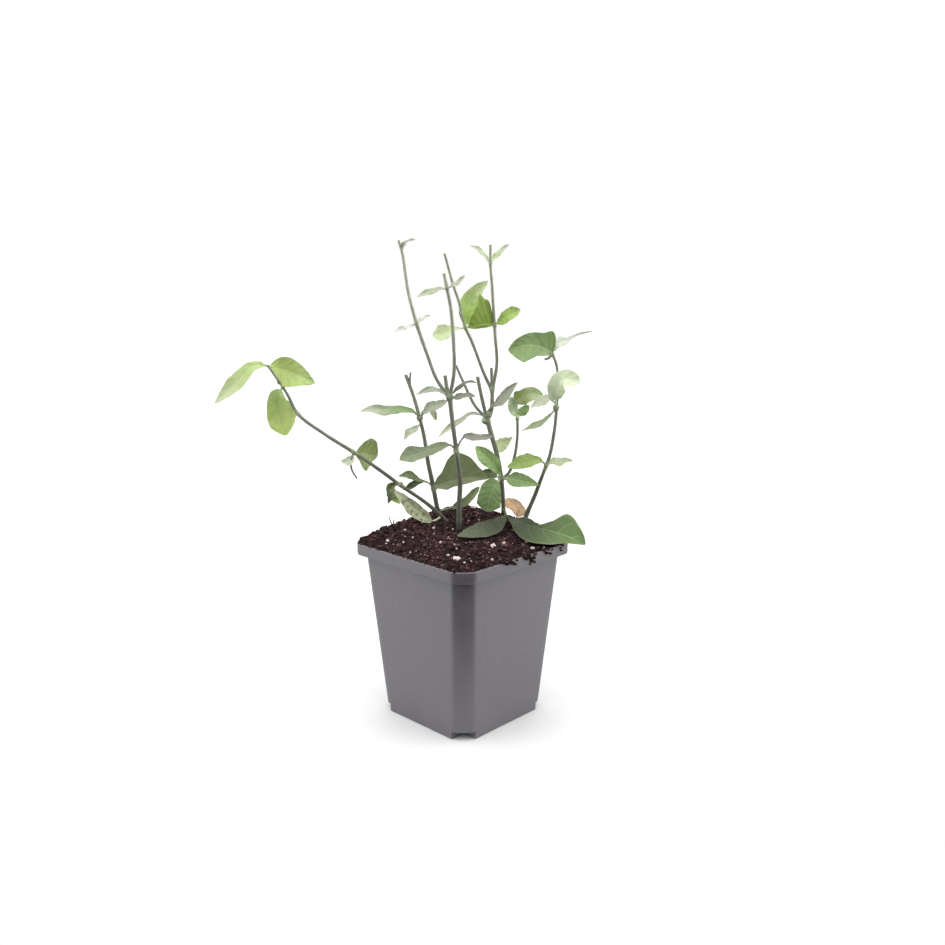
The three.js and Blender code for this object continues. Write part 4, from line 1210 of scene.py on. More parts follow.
    def _free(self, x: float, y: float, size: float) -> bool:
        """Tells whether a thing lies clear of the leaves."""
        spot = Vector((x, y, self.surface(x, y) + size))
        return self.plants.find(spot)[2] > size + self.clearance

    def _spot(self, draw: Random) -> tuple[float, float]:
        """Draws a place inside the mouth of the pot."""
        reach = self.mouth - self.strewn_inset
        return self._rounded(draw.uniform(-1, 1), draw.uniform(-1, 1), reach, self.strewn_corner)

    def _grain(
        self, skin: Skin, draw: Random, place: Matrix, size: float, tone: Colour, fine: bool = True
    ) -> None:
        """Adds one crumb or grain.

        Args:
            skin: The mesh that it goes into.
            draw: Gives the random numbers.
            place: Its place and turn.
            size: Its radius.
            tone: Its colour.
            fine: Whether it has many small faces.
        """
        points, faces = BALLS[1 if fine else 0]
        flat = draw.uniform(*self.FLATNESS)
        long = draw.uniform(*self.LENGTHENING)
        shift = Vector([draw.uniform(0, self.NOISE_SPAN) for _ in range(3)])
        bent = []
        for point in points:
            dents = sum(noise.noise(point * often + shift) * deep for often, deep in self.DENTS)
            bent.append(place @ (Vector((point.x * long, point.y, point.z * flat)) * size * (1 + dents)))
        skin.add(bent, faces, colours={"tone": [tone] * len(bent)})

    def _crumbs(self, finish: Material) -> None:
        """Strews crumbs over the soil, small ones all over and larger ones between them."""
        draw = Random(self.seed)
        skin = Skin("potting_soil_crumbs")
        for number in range(self.small_crumbs + self.large_crumbs):
            large = number < self.large_crumbs
            x, y = self._spot(draw)
            size = draw.uniform(*(self.LARGE_SIZE if large else self.SMALL_SIZE))
            if large and draw.random() < self.CHUNK_SHARE:
                size *= self.CHUNK_SCALE
            if not self._free(x, y, size):
                continue
            first, second = draw.choice(CRUMB_TONES), draw.choice(CRUMB_TONES)
            tone = blend_colours(first, second, draw.random() * 0.5)
            place = self._lie(draw, x, y, size * draw.uniform(*self.CRUMB_LIFT))
            self._grain(skin, draw, place, size, tone, large)
        for y, z, size in RIM_CRUMBS:
            place = Matrix.Translation((self.pot.rim_half + size * self.CLING, y, z))
            self._grain(skin, draw, place, size, draw.choice(RIM_TONES))
        for number in range(self.lip_crumbs):
            along = draw.uniform(-self.LIP_SPAN, self.LIP_SPAN) * self.pot.rim_half
            size = draw.uniform(*self.LIP_SIZE)
            out = self.pot.rim_half - draw.uniform(*self.LIP_INSET)
            x, y = (out, along) if number % 3 == 0 else (along, -out)
            place = Matrix.Translation((x, y, self.pot.height + size * self.CLING))
            self._grain(skin, draw, place, size, draw.choice(RIM_TONES))
        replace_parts(skin.piece(finish, "soil"), "potting_soil")

    def _slivers(self, finish: Material) -> None:
        """Strews thin slivers of bark and root, and sets up a two-pronged twig."""
        draw = Random(self.seed + 1)
        skin = Skin("potting_soil_slivers")
        for _ in range(self.slivers):
            x, y = self._spot(draw)
            length = draw.uniform(*self.SLIVER_LENGTH)
            if not self._free(x, y, length / 2):
                continue
            place = self._lie(draw, x, y, self.SLIVER_LIFT)
            bend = draw.uniform(-0.5, 0.5)
            path = []
            for share in (0, 0.25, 0.5, 0.75, 1):
                path.append(place @ Vector((length * (share - 0.5), bend * math.sin(math.pi * share), 0.0)))
            width = draw.uniform(*self.SLIVER_WIDTH)
            points, faces = tube(path, [width * taper for taper in self.SLIVER_TAPER], self.THIN_SIDES)
            skin.add(points, faces, colours={"tone": [draw.choice(SLIVER_TONES)] * len(points)})
        foot = Vector((*self.TWIG_PLACE, self.surface(*self.TWIG_PLACE) - 0.5))
        for lean, length in self.TWIG_PRONGS:
            path = [foot + Vector((lean, lean, 1.2 + step * 0.2)) * step * length / 4 for step in range(4)]
            points, faces = tube(path, self.TWIG_RADII, self.THIN_SIDES)
            skin.add(points, faces, colours={"tone": [TWIG_TONE] * len(points)})
        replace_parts(skin.piece(finish, "soil"), "potting_soil")

    def _grains(self, finish: Material) -> None:
        """Strews white grains: the larger ones where they show, small ones in between."""
        draw = Random(self.seed + 2)
        skin = Skin("potting_soil_perlite")
        for x, y, size in WHITE_GRAINS:
            place = self._lie(draw, x, y, size * self.GRAIN_LIFT)
            self._grain(skin, draw, place, size, CLEAN_GRAIN)
        for _ in range(self.small_grains):
            x, y = self._spot(draw)
            size = draw.uniform(*self.GRAIN_SIZE)
            if self._free(x, y, size):
                place = self._lie(draw, x, y, size * self.SMALL_GRAIN_LIFT)
                self._grain(skin, draw, place, size, blend_colours(*DULL_GRAINS, draw.random()))
        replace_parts(skin.piece(finish, "perlite"), "potting_soil")

    def build(self, effects: SharedEffects) -> None:
        """Makes the soil in place of its plain solid.

        Args:
            effects: The shared node groups.
        """
        self._ground(EarthFinish("soil_ground", own_share=0.0).material(effects))
        crumb_finish = EarthFinish("soil_crumb").material(effects)
        self._crumbs(crumb_finish)
        self._slivers(crumb_finish)
        self._grains(PerliteFinish().material(effects))


BALLS = (ball(1), ball(2))
CRUMB_TONES = (
    shade(22, 12, 14), shade(38, 23, 25), shade(60, 38, 39),
    shade(82, 54, 54), shade(52, 34, 44), shade(118, 86, 84),
)
RIM_TONES = CRUMB_TONES[1:4]
TWIG_TONE = shade(74, 52, 44)
SLIVER_TONES = (shade(104, 78, 62), TWIG_TONE, shade(140, 112, 94), shade(58, 42, 40))
CLEAN_GRAIN = shade(222, 212, 208)
DULL_GRAINS = (shade(128, 94, 94), shade(214, 194, 190))
# Right, away and radius, in the pot's own directions
WHITE_GRAINS = (
    (31.2, -35.9, 1.6), (29.8, -6.4, 1.5), (29.2, 2.6, 1.0), (22.3, -33.4, 0.9), (4.0, -21.5, 1.0),
    (-14.5, -9.0, 0.9), (-22.6, -36.7, 1.0), (34.5, 15.9, 0.9), (41.4, 12.7, 0.9), (42.2, 21.5, 0.9),
    (-14.3, -32.5, 0.7), (-13.4, -26.1, 0.6), (-24.8, -22.0, 0.6), (12.6, -19.2, 0.6), (20.0, -25.0, 0.6),
    (35.9, -35.3, 0.6), (36.3, -30.5, 0.7), (39.8, -18.3, 0.7), (-0.9, -39.6, 0.6), (-21.7, -38.8, 0.6),
    (1.0, -12.4, 0.6), (-5.6, -2.3, 0.6), (-20.5, 30.2, 1.6),
)
# Crumbs that cling to the outside of the rim: along it, height and radius
RIM_CRUMBS = (
    (-15.5, 101.2, 1.2), (-13.4, 100.2, 1.3), (-11.8, 100.9, 1.0), (-10.2, 100.0, 1.2), (-8.6, 99.6, 0.9),
    (-7.0, 98.6, 1.0), (-5.6, 100.4, 0.8), (0.6, 100.8, 1.0), (2.0, 100.0, 1.3), (4.0, 100.9, 1.2),
    (5.4, 99.2, 1.4), (6.4, 97.4, 1.1), (5.6, 95.9, 0.8), (8.6, 96.4, 1.0), (8.2, 98.7, 1.1),
    (9.4, 100.8, 1.3), (17.6, 100.6, 0.9), (19.0, 99.2, 1.1), (20.6, 100.9, 1.0), (22.4, 98.2, 0.9),
    (24.0, 100.2, 0.7), (31.6, 99.4, 0.8), (32.1, 97.9, 0.9), (33.4, 100.3, 0.7),
)


@dataclass(frozen=True)
class LeafColours:
    """The colours of one leaf: its body, its margin, its midrib, and how mottled it is."""

    body: Colour
    rim: Colour
    rib: Colour
    mottle: float = 0.12


class Tone(Enum):
    """The colours that leaves take, from the freshest to the darkest and the palest; some hold painted
    light or shade as well as the leaves' own colour.
    """

    LEMON = LeafColours(shade(184, 206, 128), shade(196, 212, 160), shade(205, 220, 165))
    GOLD = LeafColours(shade(174, 192, 112), shade(160, 176, 110), shade(190, 206, 140))
    OLIVE = LeafColours(shade(116, 126, 80), shade(134, 141, 104), shade(142, 150, 112), 0.25)
    GREY = LeafColours(shade(155, 158, 140), shade(178, 182, 168), shade(185, 188, 175), 0.2)
    # painted shade: the near-black foot of the large leaf over the rim, darkened for the shade that falls
    # there
    PAINTED_SHADE = LeafColours(shade(40, 50, 22), shade(66, 78, 42), shade(76, 90, 50), 0.2)
    LEAF = LeafColours(shade(94, 122, 62), shade(142, 154, 114), shade(150, 166, 118), 0.2)
    # painted shade: a dark green margin on the large leaf behind the centre stem, standing in for the shade
    # along its edges
    SHADE_EDGED = LeafColours(shade(124, 131, 100), shade(84, 112, 56), shade(142, 150, 114), 0.25)
    # deep green, partly the leaves' own colour and partly painted shade for leaves that lie in shade behind
    # and under others
    DARK = LeafColours(shade(88, 98, 62), shade(112, 120, 88), shade(128, 138, 104), 0.3)
    VARIEGATED = LeafColours(shade(190, 195, 160), shade(205, 208, 180), shade(205, 210, 180), 1.0)
    SAGE = LeafColours(shade(146, 160, 124), shade(162, 172, 146), shade(176, 188, 158), 0.2)
    GREEN = LeafColours(shade(128, 152, 98), shade(120, 140, 95), shade(170, 190, 140))
    SILVER = LeafColours(shade(186, 192, 168), shade(200, 204, 184), shade(208, 212, 196))
    PALE = LeafColours(shade(200, 212, 165), shade(214, 224, 186), shade(224, 232, 200))
    GHOST = LeafColours(shade(226, 230, 214), shade(232, 235, 222), shade(236, 240, 228), 0.05)
    FRESH = LeafColours(shade(150, 176, 92), shade(160, 182, 110), shade(180, 200, 130))
    VIVID = LeafColours(shade(114, 138, 56), shade(140, 158, 80), shade(152, 172, 98))
    # a very pale green, the leaf's own colour made paler still by painted light, standing in for light
    # shining through the raised leaf
    MINT = LeafColours(shade(236, 248, 212), shade(240, 250, 220), shade(244, 252, 226), 0.05)
    TAN = LeafColours(shade(240, 198, 164), shade(224, 174, 140), shade(206, 156, 126), 0.4)


# Powers by which a side of a leaf widens from its foot and narrows to its tip, and its least width
FOOT_POWER = 0.6
TIP_POWER = 0.7
LEAST_WIDTH = 0.03


class Form(Enum):
    """A leaf's outline: how soon it widens from its foot, and how soon it narrows to its tip."""

    OVATE = (0.55, 0.75)
    OVAL = (0.55, 0.55)
    LANCE = (0.75, 0.95)

    def width(self, along: float) -> float:
        """The outline's width at a share of the length, as a share of the widest."""
        foot, tip = self.value
        widest = foot / (foot + tip)
        peak = widest**foot * (1 - widest) ** tip
        return max(along**foot * (1 - along) ** tip / peak, LEAST_WIDTH)


def side_width(widths: Sequence[float], along: float) -> float:
    """Width of one side of a leaf, by a smooth curve through widths at even steps from foot to tip.

    Args:
        widths: The widths, without the ends, which come to a point.
        along: Share of the way from the blade's foot to its tip.

    Returns:
        The width at that share.
    """
    steps = len(widths) + 1
    place = along * steps
    if place <= 1:
        return widths[0] * place**FOOT_POWER
    if place >= steps - 1:
        return widths[-1] * max(0.0, steps - place) ** TIP_POWER
    first = int(place)
    start, end = widths[first - 1], widths[first]
    before = widths[first - 2] if first > 1 else end - 2 * FOOT_POWER * start
    after = widths[first + 1] if first + 1 < len(widths) else start - 2 * TIP_POWER * end
    part = place - first
    square, cube = part * part, part * part * part
    width = start * (2 * cube - 3 * square + 1) + end * (3 * square - 2 * cube)
    width += (end - before) / 2 * (cube - 2 * square + part)
    return width + (after - start) / 2 * (cube - square)


# The way that many leaves face: up, and as much towards the viewer
SLANT: Point = (0, -0.68, 0.73)


@dataclass(frozen=True)
class Leaf:
    """One leaf: its midrib from the stem to the tip, its width, the way it faces, its colours and the
    painted light and shade on them.

    Its width is either half the width of an even form, or the widths of both sides at even steps.
    """

    rib: tuple[Point, ...]
    spread: float | tuple[tuple[float, ...], tuple[float, ...]]
    face: Point
    tone: Tone
    tip: Tone | None = None
    form: Form = Form.OVATE
    fold: tuple[float, float] = (12, 12)
    tip_fold: tuple[float, float] | None = None
    wave: float = 0.5
    stalk: float = 0.14
    # light: painted light and shade, a factor fitted leaf by leaf that brightens or darkens the leaf's
    # colours to stand in for the light that falls on it or shines through it
    light: float = 1.0

    ROWS = 54
    COLUMNS = 12
    TEETH = 11
    TOOTH = 0.17
    TOOTH_SHIFT = 0.37
    TOOTH_REACH = 0.15
    QUILTING = 0.1
    UNEVENNESS = 0.3
    UNEVEN_SPREAD = (3.5, 1.6, 7.3)
    WAVE_TURNS = 9
    WAVE_SHIFT = 1.7
    RUFFLE = 0.16
    RUFFLE_TURNS = 31
    CUPPING = 0.2
    FULL_RELIEF_WIDTH = 3
    RIB_THICKNESS = 0.42
    EDGE_THICKNESS = 0.17
    THINNING = 0.6
    RIB_STEPS = 30
    RIB_END = 0.97
    RIB_RADII = (0.42, 0.1)
    RIB_SIDES = 8
    RIB_DEPTH = 0.06
    RIB_LEAD = 0.03
    STALK_STEPS = 12
    STALK_RADII = (0.72, 0.36)
    STALK_SIDES = 10
    STALK_RUN = 0.07
    STALK_UNDER = 0.4
    # The brightest that the painted light may make any part of a leaf's colour
    LIGHTEST = 0.9
    TIP_BLEND = (0.25, 0.95)
    THINNEST = 0.05

    def add_to(self, skin: Skin, number: int) -> None:
        """Adds the leaf's blade, midrib and stalk to a mesh.

        Args:
            skin: The mesh.
            number: The leaf's number, which makes it unlike the others.
        """
        route = Route(self.rib)
        self._blade(skin, route, number)
        self._ribs(skin, route)

    def _width(self, side: int, along: float) -> float:
        """Width of one side at a share of the blade's length."""
        if isinstance(self.spread, tuple):
            return max(side_width(self.spread[side], along), self.THINNEST)
        return self.spread * self.form.width(along)

    def _lift(self, number: int, along: float, side: float, width: float, widest: float) -> float:
        """How far the blade stands out at a place by its waves, its quilting and its unevenness.

        Args:
            number: The leaf's number.
            along: Share of the way from the blade's foot to its tip.
            side: Share of the way from the midrib to the margin, below 0 on the first side.
            width: The side's width there.
            widest: The side's greatest width.

        Returns:
            The height out of the blade.
        """
        reach = abs(side)
        relief = min(1.0, width / self.FULL_RELIEF_WIDTH)
        phase = along * VEIN_PAIRS - reach**VEIN_POWER * VEIN_SWEEP
        quilting = self.QUILTING * math.cos(2 * math.pi * phase)
        quilting *= math.sqrt(max(0.0, reach * (1 - reach) * 4))
        spot = [value * often for value, often in zip((along, side, number), self.UNEVEN_SPREAD)]
        uneven = noise.noise(Vector(spot)) * self.UNEVENNESS * reach
        ruffle = self.RUFFLE * reach**3 * math.sin(along * self.RUFFLE_TURNS + number)
        turn = along * self.WAVE_TURNS + (0 if side < 0 else self.WAVE_SHIFT)
        wave = self.wave * side * side * math.sin(turn) * width / widest
        return wave + relief * (ruffle - quilting + uneven)

    def _blade(self, skin: Skin, route: Route, number: int) -> None:
        """Adds the thin blade, with fine teeth, a light quilting between its veins and waved margins.

        Args:
            skin: The mesh.
            route: The midrib's curve.
            number: The leaf's number.
        """
        face = Vector(self.face)
        tip_fold = self.tip_fold or self.fold
        broadest = [max(self._width(half, step / 10) for step in range(11)) for half in (0, 1)]
        upper, lower, places, sides = [], [], [], []
        for row in range(self.ROWS + 1):
            along = 0.5 - 0.5 * math.cos(math.pi * row / self.ROWS)
            share = lerp(self.stalk, 1, along)
            centre, ahead = route.at(share), route.ahead(share)
            across = ahead.cross(face).normalized()
            out = across.cross(ahead).normalized()
            tooth = ((along * self.TEETH + number * self.TOOTH_SHIFT) % 1) ** 2 * self.TOOTH
            for column in range(-self.COLUMNS, self.COLUMNS + 1):
                side = column / self.COLUMNS
                reach = abs(side)
                half = 0 if side < 0 else 1
                width = self._width(half, along)
                fold = math.radians(lerp(self.fold[half], tip_fold[half], along))
                toothed = max(0.0, reach - 1 + self.TOOTH_REACH) / self.TOOTH_REACH
                run = width * reach + tooth * toothed * min(1.0, width)
                lift = self._lift(number, along, side, width, broadest[half])
                lift += run * math.sin(fold) * (1 - self.CUPPING + self.CUPPING * reach)
                top = centre + across * math.copysign(run * math.cos(fold), side) + out * lift
                down = out * math.cos(fold) - across * math.copysign(math.sin(fold), side)
                thickness = lerp(self.RIB_THICKNESS, self.EDGE_THICKNESS, reach**self.THINNING)
                upper.append(top)
                lower.append(top - down * thickness)
                places.append(along)
                sides.append(side)
        rows, columns = self.ROWS + 1, 2 * self.COLUMNS + 1
        count = rows * columns
        sheet = lattice_faces(rows, columns, False)
        faces = [face_row[::-1] for face_row in sheet]
        faces += [tuple(place + count for place in face_row) for face_row in sheet]
        edge = list(range(columns)) + [row * columns + columns - 1 for row in range(1, rows)]
        edge += [count - 1 - step for step in range(1, columns)]
        edge += [row * columns for row in range(rows - 2, 0, -1)]
        for turn, place in enumerate(edge):
            beside = edge[(turn + 1) % len(edge)]
            faces.append((place, beside, beside + count, place + count))
        self._dress(skin, upper + lower, faces, places * 2, sides * 2, [0.0] * count + [1.0] * count)

    def _ribs(self, skin: Skin, route: Route) -> None:
        """Adds the midrib under the blade and the stalk that leads to the stem."""
        face = Vector(self.face)
        path, radii = [], []
        for step in range(self.RIB_STEPS + 1):
            share = lerp(max(0.0, self.stalk - self.RIB_LEAD), self.RIB_END, step / self.RIB_STEPS)
            ahead = route.ahead(share)
            out = ahead.cross(face).normalized().cross(ahead)
            radii.append(lerp(*self.RIB_RADII, step / self.RIB_STEPS))
            path.append(route.at(share) - out.normalized() * (radii[-1] + self.RIB_DEPTH))
        self._dress_rib(skin, *tube(path, radii, self.RIB_SIDES), 1.0)
        shares = [step / self.STALK_STEPS for step in range(self.STALK_STEPS + 1)]
        path = [route.at((self.stalk + self.STALK_RUN) * share) for share in shares]
        radii = [lerp(*self.STALK_RADII, share) for share in shares]
        self._dress_rib(skin, *tube(path, radii, self.STALK_SIDES), self.STALK_UNDER)

    def _dress_rib(self, skin: Skin, points: list[Vector], faces: Faces, under: float) -> None:
        """Adds a midrib or a stalk, which takes its colours from the blade's foot."""
        count = len(points)
        self._dress(skin, points, faces, [0.0] * count, [0.0] * count, [under] * count)

    def _blend(self, first: Colour, second: Colour, share: float) -> Colour:
        """Mixes two colours and brightens or darkens them by this leaf's factor of painted light and shade,
        no further than the lightest allowed.
        """
        mixed = blend_colours(first, second, share)[:3]
        # painted light and shade: the leaf's colours are scaled for the light that falls on it, up to the
        # lightest allowed
        light = min(self.light, self.LIGHTEST / max(mixed))
        return (mixed[0] * light, mixed[1] * light, mixed[2] * light, 1.0)

    def _dress(
        self,
        skin: Skin,
        points: list[Vector],
        faces: Faces,
        along: list[float],
        across: list[float],
        under: list[float],
    ) -> None:
        """Adds a part of the leaf with its colours, which go over to those of the tip along the leaf.

        Args:
            skin: The mesh.
            points: The part's points.
            faces: Its faces.
            along: Each point's share of the way from the blade's foot to its tip.
            across: Each point's share of the way from the midrib to the margin.
            under: 1 for points of the underside.
        """
        base = self.tone.value
        end = (self.tip or self.tone).value
        blends = [smoothstep(share, *self.TIP_BLEND) for share in along]
        colours = {
            "tone": [self._blend(base.body, end.body, share) for share in blends],
            "rim_tone": [self._blend(base.rim, end.rim, share) for share in blends],
            "rib_tone": [self._blend(base.rib, end.rib, share) for share in blends],
        }
        mottle = [lerp(base.mottle, end.mottle, share) for share in blends]
        values = {"along": along, "across": across, "under": under, "mottle": mottle}
        skin.add(points, faces, values, colours)


@dataclass(frozen=True)
class Stem:
    """One run of stem or shoot: its route and its radii at even steps from the foot to the top."""

    points: tuple[Point, ...]
    radii: tuple[float, ...]

    def radius(self, share: float) -> float:
        """The radius at a share of the length."""
        place = share * (len(self.radii) - 1)
        first = min(int(place), len(self.radii) - 2)
        return lerp(self.radii[first], self.radii[first + 1], place - first)


@dataclass(frozen=True)
class Knuckle:
    """A swollen joint where leaves or shoots leave the stem."""

    place: Point
    radius: float


@dataclass(frozen=True)
class LeafyStem:
    """One plant: its stems, its joints and its leaves, with the bark and the foliage as two pieces."""

    node: str
    slot: str
    leaves: tuple[Leaf, ...]
    stems: tuple[Stem, ...] = ()
    knuckles: tuple[Knuckle, ...] = ()
    bark: BarkFinish = BarkFinish()
    foliage: LeafFinish = LeafFinish("living_leaf")

    STEP = 1.1
    LEAST_STEPS = 6
    SIDES = 14
    RIDGE = 0.05
    SWELL = 0.32
    SWELL_REACH = 2.0
    GRAIN = 0.09
    GRAIN_FINENESS = 0.35
    KNUCKLE_DIVISIONS = 4
    # Bumps of a joint: how fine they are, and how far they stand out
    BUMPS = ((1.4, 0.2), (5, 0.06))
    # Bark tones run from the soil upwards, and paler round joints
    TONE_FROM = 100
    TONE_RUN = 170
    JOINT_SHARE = 0.75
    JOINT_REACH = (1.2, 4.0)

    def _bark(self) -> Skin:
        """Gathers the stems and joints."""
        skin = Skin(f"{self.node}_bark", PLANT_SPACE)
        for number, stem in enumerate(self.stems):
            route = Route(stem.points)
            steps = max(self.LEAST_STEPS, round(route.length / self.STEP))
            path, radii = [], []
            for step in range(steps + 1):
                share = step / steps
                point = route.at(share)
                swell = self.SWELL * math.exp(-((self._near(point) / self.SWELL_REACH) ** 2))
                spot = point * self.GRAIN_FINENESS + Vector((number * 9, 0, 0))
                grain = self.GRAIN * noise.noise(spot)
                path.append(point)
                radii.append(stem.radius(share) * (1 + swell + grain))
            self._add_bark(skin, *tube(path, radii, self.SIDES, self.RIDGE))
        round_points, round_faces = ball(self.KNUCKLE_DIVISIONS)
        for knuckle in self.knuckles:
            centre = Vector(knuckle.place)
            points = []
            for point in round_points:
                bumps = sum(noise.noise(point * fine + centre) * high for fine, high in self.BUMPS)
                points.append(centre + point * knuckle.radius * (1 + bumps))
            self._add_bark(skin, points, round_faces)
        return skin

    def _near(self, point: Vector) -> float:
        """Distance from a point to the nearest joint."""
        return min((point - Vector(knuckle.place)).length for knuckle in self.knuckles)

    def _add_bark(self, skin: Skin, points: list[Vector], faces: Faces) -> None:
        """Adds a part of the stem with its share of the height and its nearness to a joint.

        Args:
            skin: The mesh.
            points: The part's points.
            faces: Its faces.
        """
        heights = [(point.z - self.TONE_FROM) / self.TONE_RUN for point in points]
        nears = [smoothstep(self._near(point), *self.JOINT_REACH) for point in points]
        joints = [self.JOINT_SHARE * (1 - near) for near in nears]
        skin.add(points, faces, {"height": heights, "joint": joints})

    def build(self, effects: SharedEffects) -> list[Vector]:
        """Makes the plant in place of its plain solid.

        Args:
            effects: The shared node groups.

        Returns:
            Points of its stems and leaves in the pot's own directions.
        """
        turn = Matrix.Rotation(PLANT_TURN, 4, "Z")
        leaves = Skin(f"{self.node}_leaves", PLANT_SPACE)
        for number, leaf in enumerate(self.leaves):
            leaf.add_to(leaves, number + len(self.node))
        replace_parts(leaves.piece(self.foliage.material(effects), self.slot), self.node)
        taken = list(leaves.points)
        if self.stems:
            bark = self._bark()
            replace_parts(bark.piece(self.bark.material(effects), "stem_bark"), self.node)
            taken += bark.points
        return [turn @ point for point in taken]


RECLINING_LEAVES = (
    # Long leaf at the tip, to the left
    Leaf(
        ((-108.5, 8, 200), (-113, 6, 201), (-117.5, 4, 199.5), (-124.5, 2, 192), (-137.5, 0, 180)),
        ((8, 9.5, 9.5, 8.5, 5.5), (4, 6.5, 7, 6, 3.5)),
        (-0.5, -0.6, 0.6), Tone.LEMON, tip=Tone.PALE, stalk=0.06, light=0.9,
    ),
    # Broad leaf at the tip, to the right
    Leaf(
        ((-108.5, 8, 200), (-103.5, 12, 198), (-97.5, 13, 195.7), (-90.4, 13, 193.2), (-83.7, 13, 189.7)),
        ((6, 8, 7.5, 5.5, 3), (7.5, 9.5, 9.5, 7.5, 4.5)),
        (0.1, -0.88, 0.45), Tone.GOLD, tip=Tone.LEMON, stalk=0.04, light=1.24,
    ),
    # Round leaf below the tip
    Leaf(
        (
            (-101.7, 8, 187.3), (-103.8, 12, 182.6), (-104.2, 14, 176),
            (-103.1, 14, 168.5), (-101, 12, 159.9),
        ),
        ((6.2, 8.8, 10, 8.8, 6.4), (5.4, 7.1, 7.9, 8, 6.4)),
        (-0.1, -0.98, 0.15), Tone.LEMON, tip=Tone.GOLD, stalk=0.04, light=2,
    ),
    # Olive leaf behind the stem
    Leaf(
        ((-62.5, 12, 149.5), (-58.5, 16, 148.5), (-54.5, 20.5, 147), (-50.5, 25, 145)),
        ((6, 9, 10, 9, 5.5), (4.5, 8, 9.5, 6.5, 3)),
        (0.1, -1, 0.15), Tone.OLIVE, stalk=0.08, light=2.5,
    ),
    # Small curled leaf
    Leaf(
        ((-62.5, 12, 149.5), (-64, 10, 146.5), (-66.5, 8, 145), (-69.5, 6, 146.5)),
        3, (0.2, -0.7, 0.6), Tone.GREY, form=Form.LANCE, fold=(20, 20), light=2.2,
    ),
    # Dark drooping leaf
    Leaf(
        ((-36, 14, 130.5), (-39.5, 16, 130.5), (-42, 16, 128), (-41.5, 14, 124), (-43.5, 12, 120)),
        ((1.5, 4, 3, 3.5, 1.5), (1.5, 3, 2.5, 3, 1.5)),
        (-0.3, -0.9, 0.2), Tone.OLIVE, tip=Tone.DARK, fold=(24, 24), stalk=0.1,
    ),
    # Side lobe of the dark drooping leaf
    Leaf(
        ((-42, 16, 127), (-41, 15, 125), (-39, 14, 122), (-36.5, 13, 119.5)),
        2.2, (-0.2, -0.9, 0.3), Tone.OLIVE, form=Form.LANCE, stalk=0.04, light=3.9,
    ),
    # Variegated leaf that rises from the soil
    Leaf(
        ((-12.5, 15, 111.5), (-17.5, 11, 109.8), (-24, 9, 114.5), (-31.5, 8, 121.5), (-40, 10, 128.5)),
        ((3.5, 4.5, 5, 3.5, 2), (3, 3.5, 3.5, 2.5, 2)),
        (0.3, -0.9, 0.3), Tone.VARIEGATED, fold=(10, 18), stalk=0.19, light=1.06,
    ),
)

RECLINING_STEM = LeafyStem(
    node="leafy_stem_reclining",
    slot="yellow_green_foliage",
    leaves=RECLINING_LEAVES,
    stems=(
        Stem(
            (
                (-3, 15, 98), (-9.5, 15, 108), (-15, 15, 114),
                (-22, 15, 120), (-36.5, 14.5, 130.5), (-48.5, 13, 140),
                (-61.5, 12, 149.5), (-78.5, 10, 161), (-93, 8, 173), (-98.5, 8, 184), (-108.5, 8, 200),
            ),
            (1.9, 1, 1.05, 1, 0.9, 0.7),
        ),
        Stem(((-63, 11.5, 149), (-64, 9.5, 144.5), (-63.5, 9, 140.5), (-60.5, 8, 135.5)), (0.65, 0.45)),
    ),
    knuckles=(
        Knuckle((-93, 8, 173), 1.3), Knuckle((-62.5, 12, 150), 1.3), Knuckle((-36, 14, 131), 1.5),
        Knuckle((-108.5, 8, 200), 0.95),
    ),
)

LEFT_LEAVES = (
    # Dark arched leaf
    Leaf(
        ((-17, 24, 126.5), (-21, 22, 130.5), (-25, 20, 132), (-30.5, 18, 135.5), (-37.5, 16, 135.5)),
        ((1, 2, 2.5, 3, 2), (1, 1.5, 2, 2.5, 1.5)),
        SLANT, Tone.DARK, stalk=0.26, light=1.8,
    ),
    # Lower lobe of the dark arched leaf
    Leaf(
        ((-22.5, 22, 131), (-27, 20.5, 130.7), (-31.6, 19, 128), (-35.1, 18.5, 126.4)),
        2.2, (-0.3, -0.8, 0.5), Tone.DARK, form=Form.LANCE, stalk=0.04, light=0.92,
    ),
    # Large leaf behind the centre stem, its margin darkened with painted shade
    Leaf(
        ((-17, 24, 126.5), (-13, 25, 128.5), (-5, 26, 130.5), (4.5, 26, 132.2), (15, 24.5, 132.1)),
        ((6, 13, 16, 13, 6), (4, 3.5, 3.5, 3, 1.5)),
        (0, -0.97, 0.25), Tone.SHADE_EDGED, stalk=0.02, light=1.7,
    ),
    # Long waved leaf
    Leaf(
        (
            (-25, 22, 168.5), (-28.5, 19, 173), (-36, 17, 175),
            (-44.5, 15, 174.5), (-51.5, 14, 175), (-58.5, 13, 174),
        ),
        ((4, 5.5, 5, 5.5, 3.5), (1.5, 2.5, 2.5, 2.5, 2)),
        (0, -0.6, 0.8), Tone.GREEN, tip=Tone.SILVER, wave=0.8, stalk=0.12,
    ),
    # Pale leaf with a drooping tip
    Leaf(
        ((-25, 22, 168.5), (-22, 19, 172.5), (-18, 16, 173.5), (-15, 13, 168.5)),
        2.6, (0.25, -0.6, 0.75), Tone.SILVER, tip=Tone.PALE, light=0.53,
    ),
    # Pale lower leaf
    Leaf(
        ((-24.5, 22, 165), (-28, 19, 163), (-31, 15, 161.5), (-33.5, 12, 157.5)),
        ((2, 3.5, 3.5, 3, 1.5), (1.5, 2.5, 2.5, 2, 1)),
        (-0.3, -0.8, 0.5), Tone.SILVER, stalk=0.1, light=1.06,
    ),
    # Dark leaf that rises from the soil
    Leaf(
        ((-14.3, 24.8, 112), (-4, 22, 116), (2.5, 20, 120), (9.5, 20, 128)),
        2.7, (-0.3, -0.8, 0.5), Tone.DARK, tip=Tone.OLIVE, form=Form.OVAL, stalk=0.28, light=1.42,
    ),
)

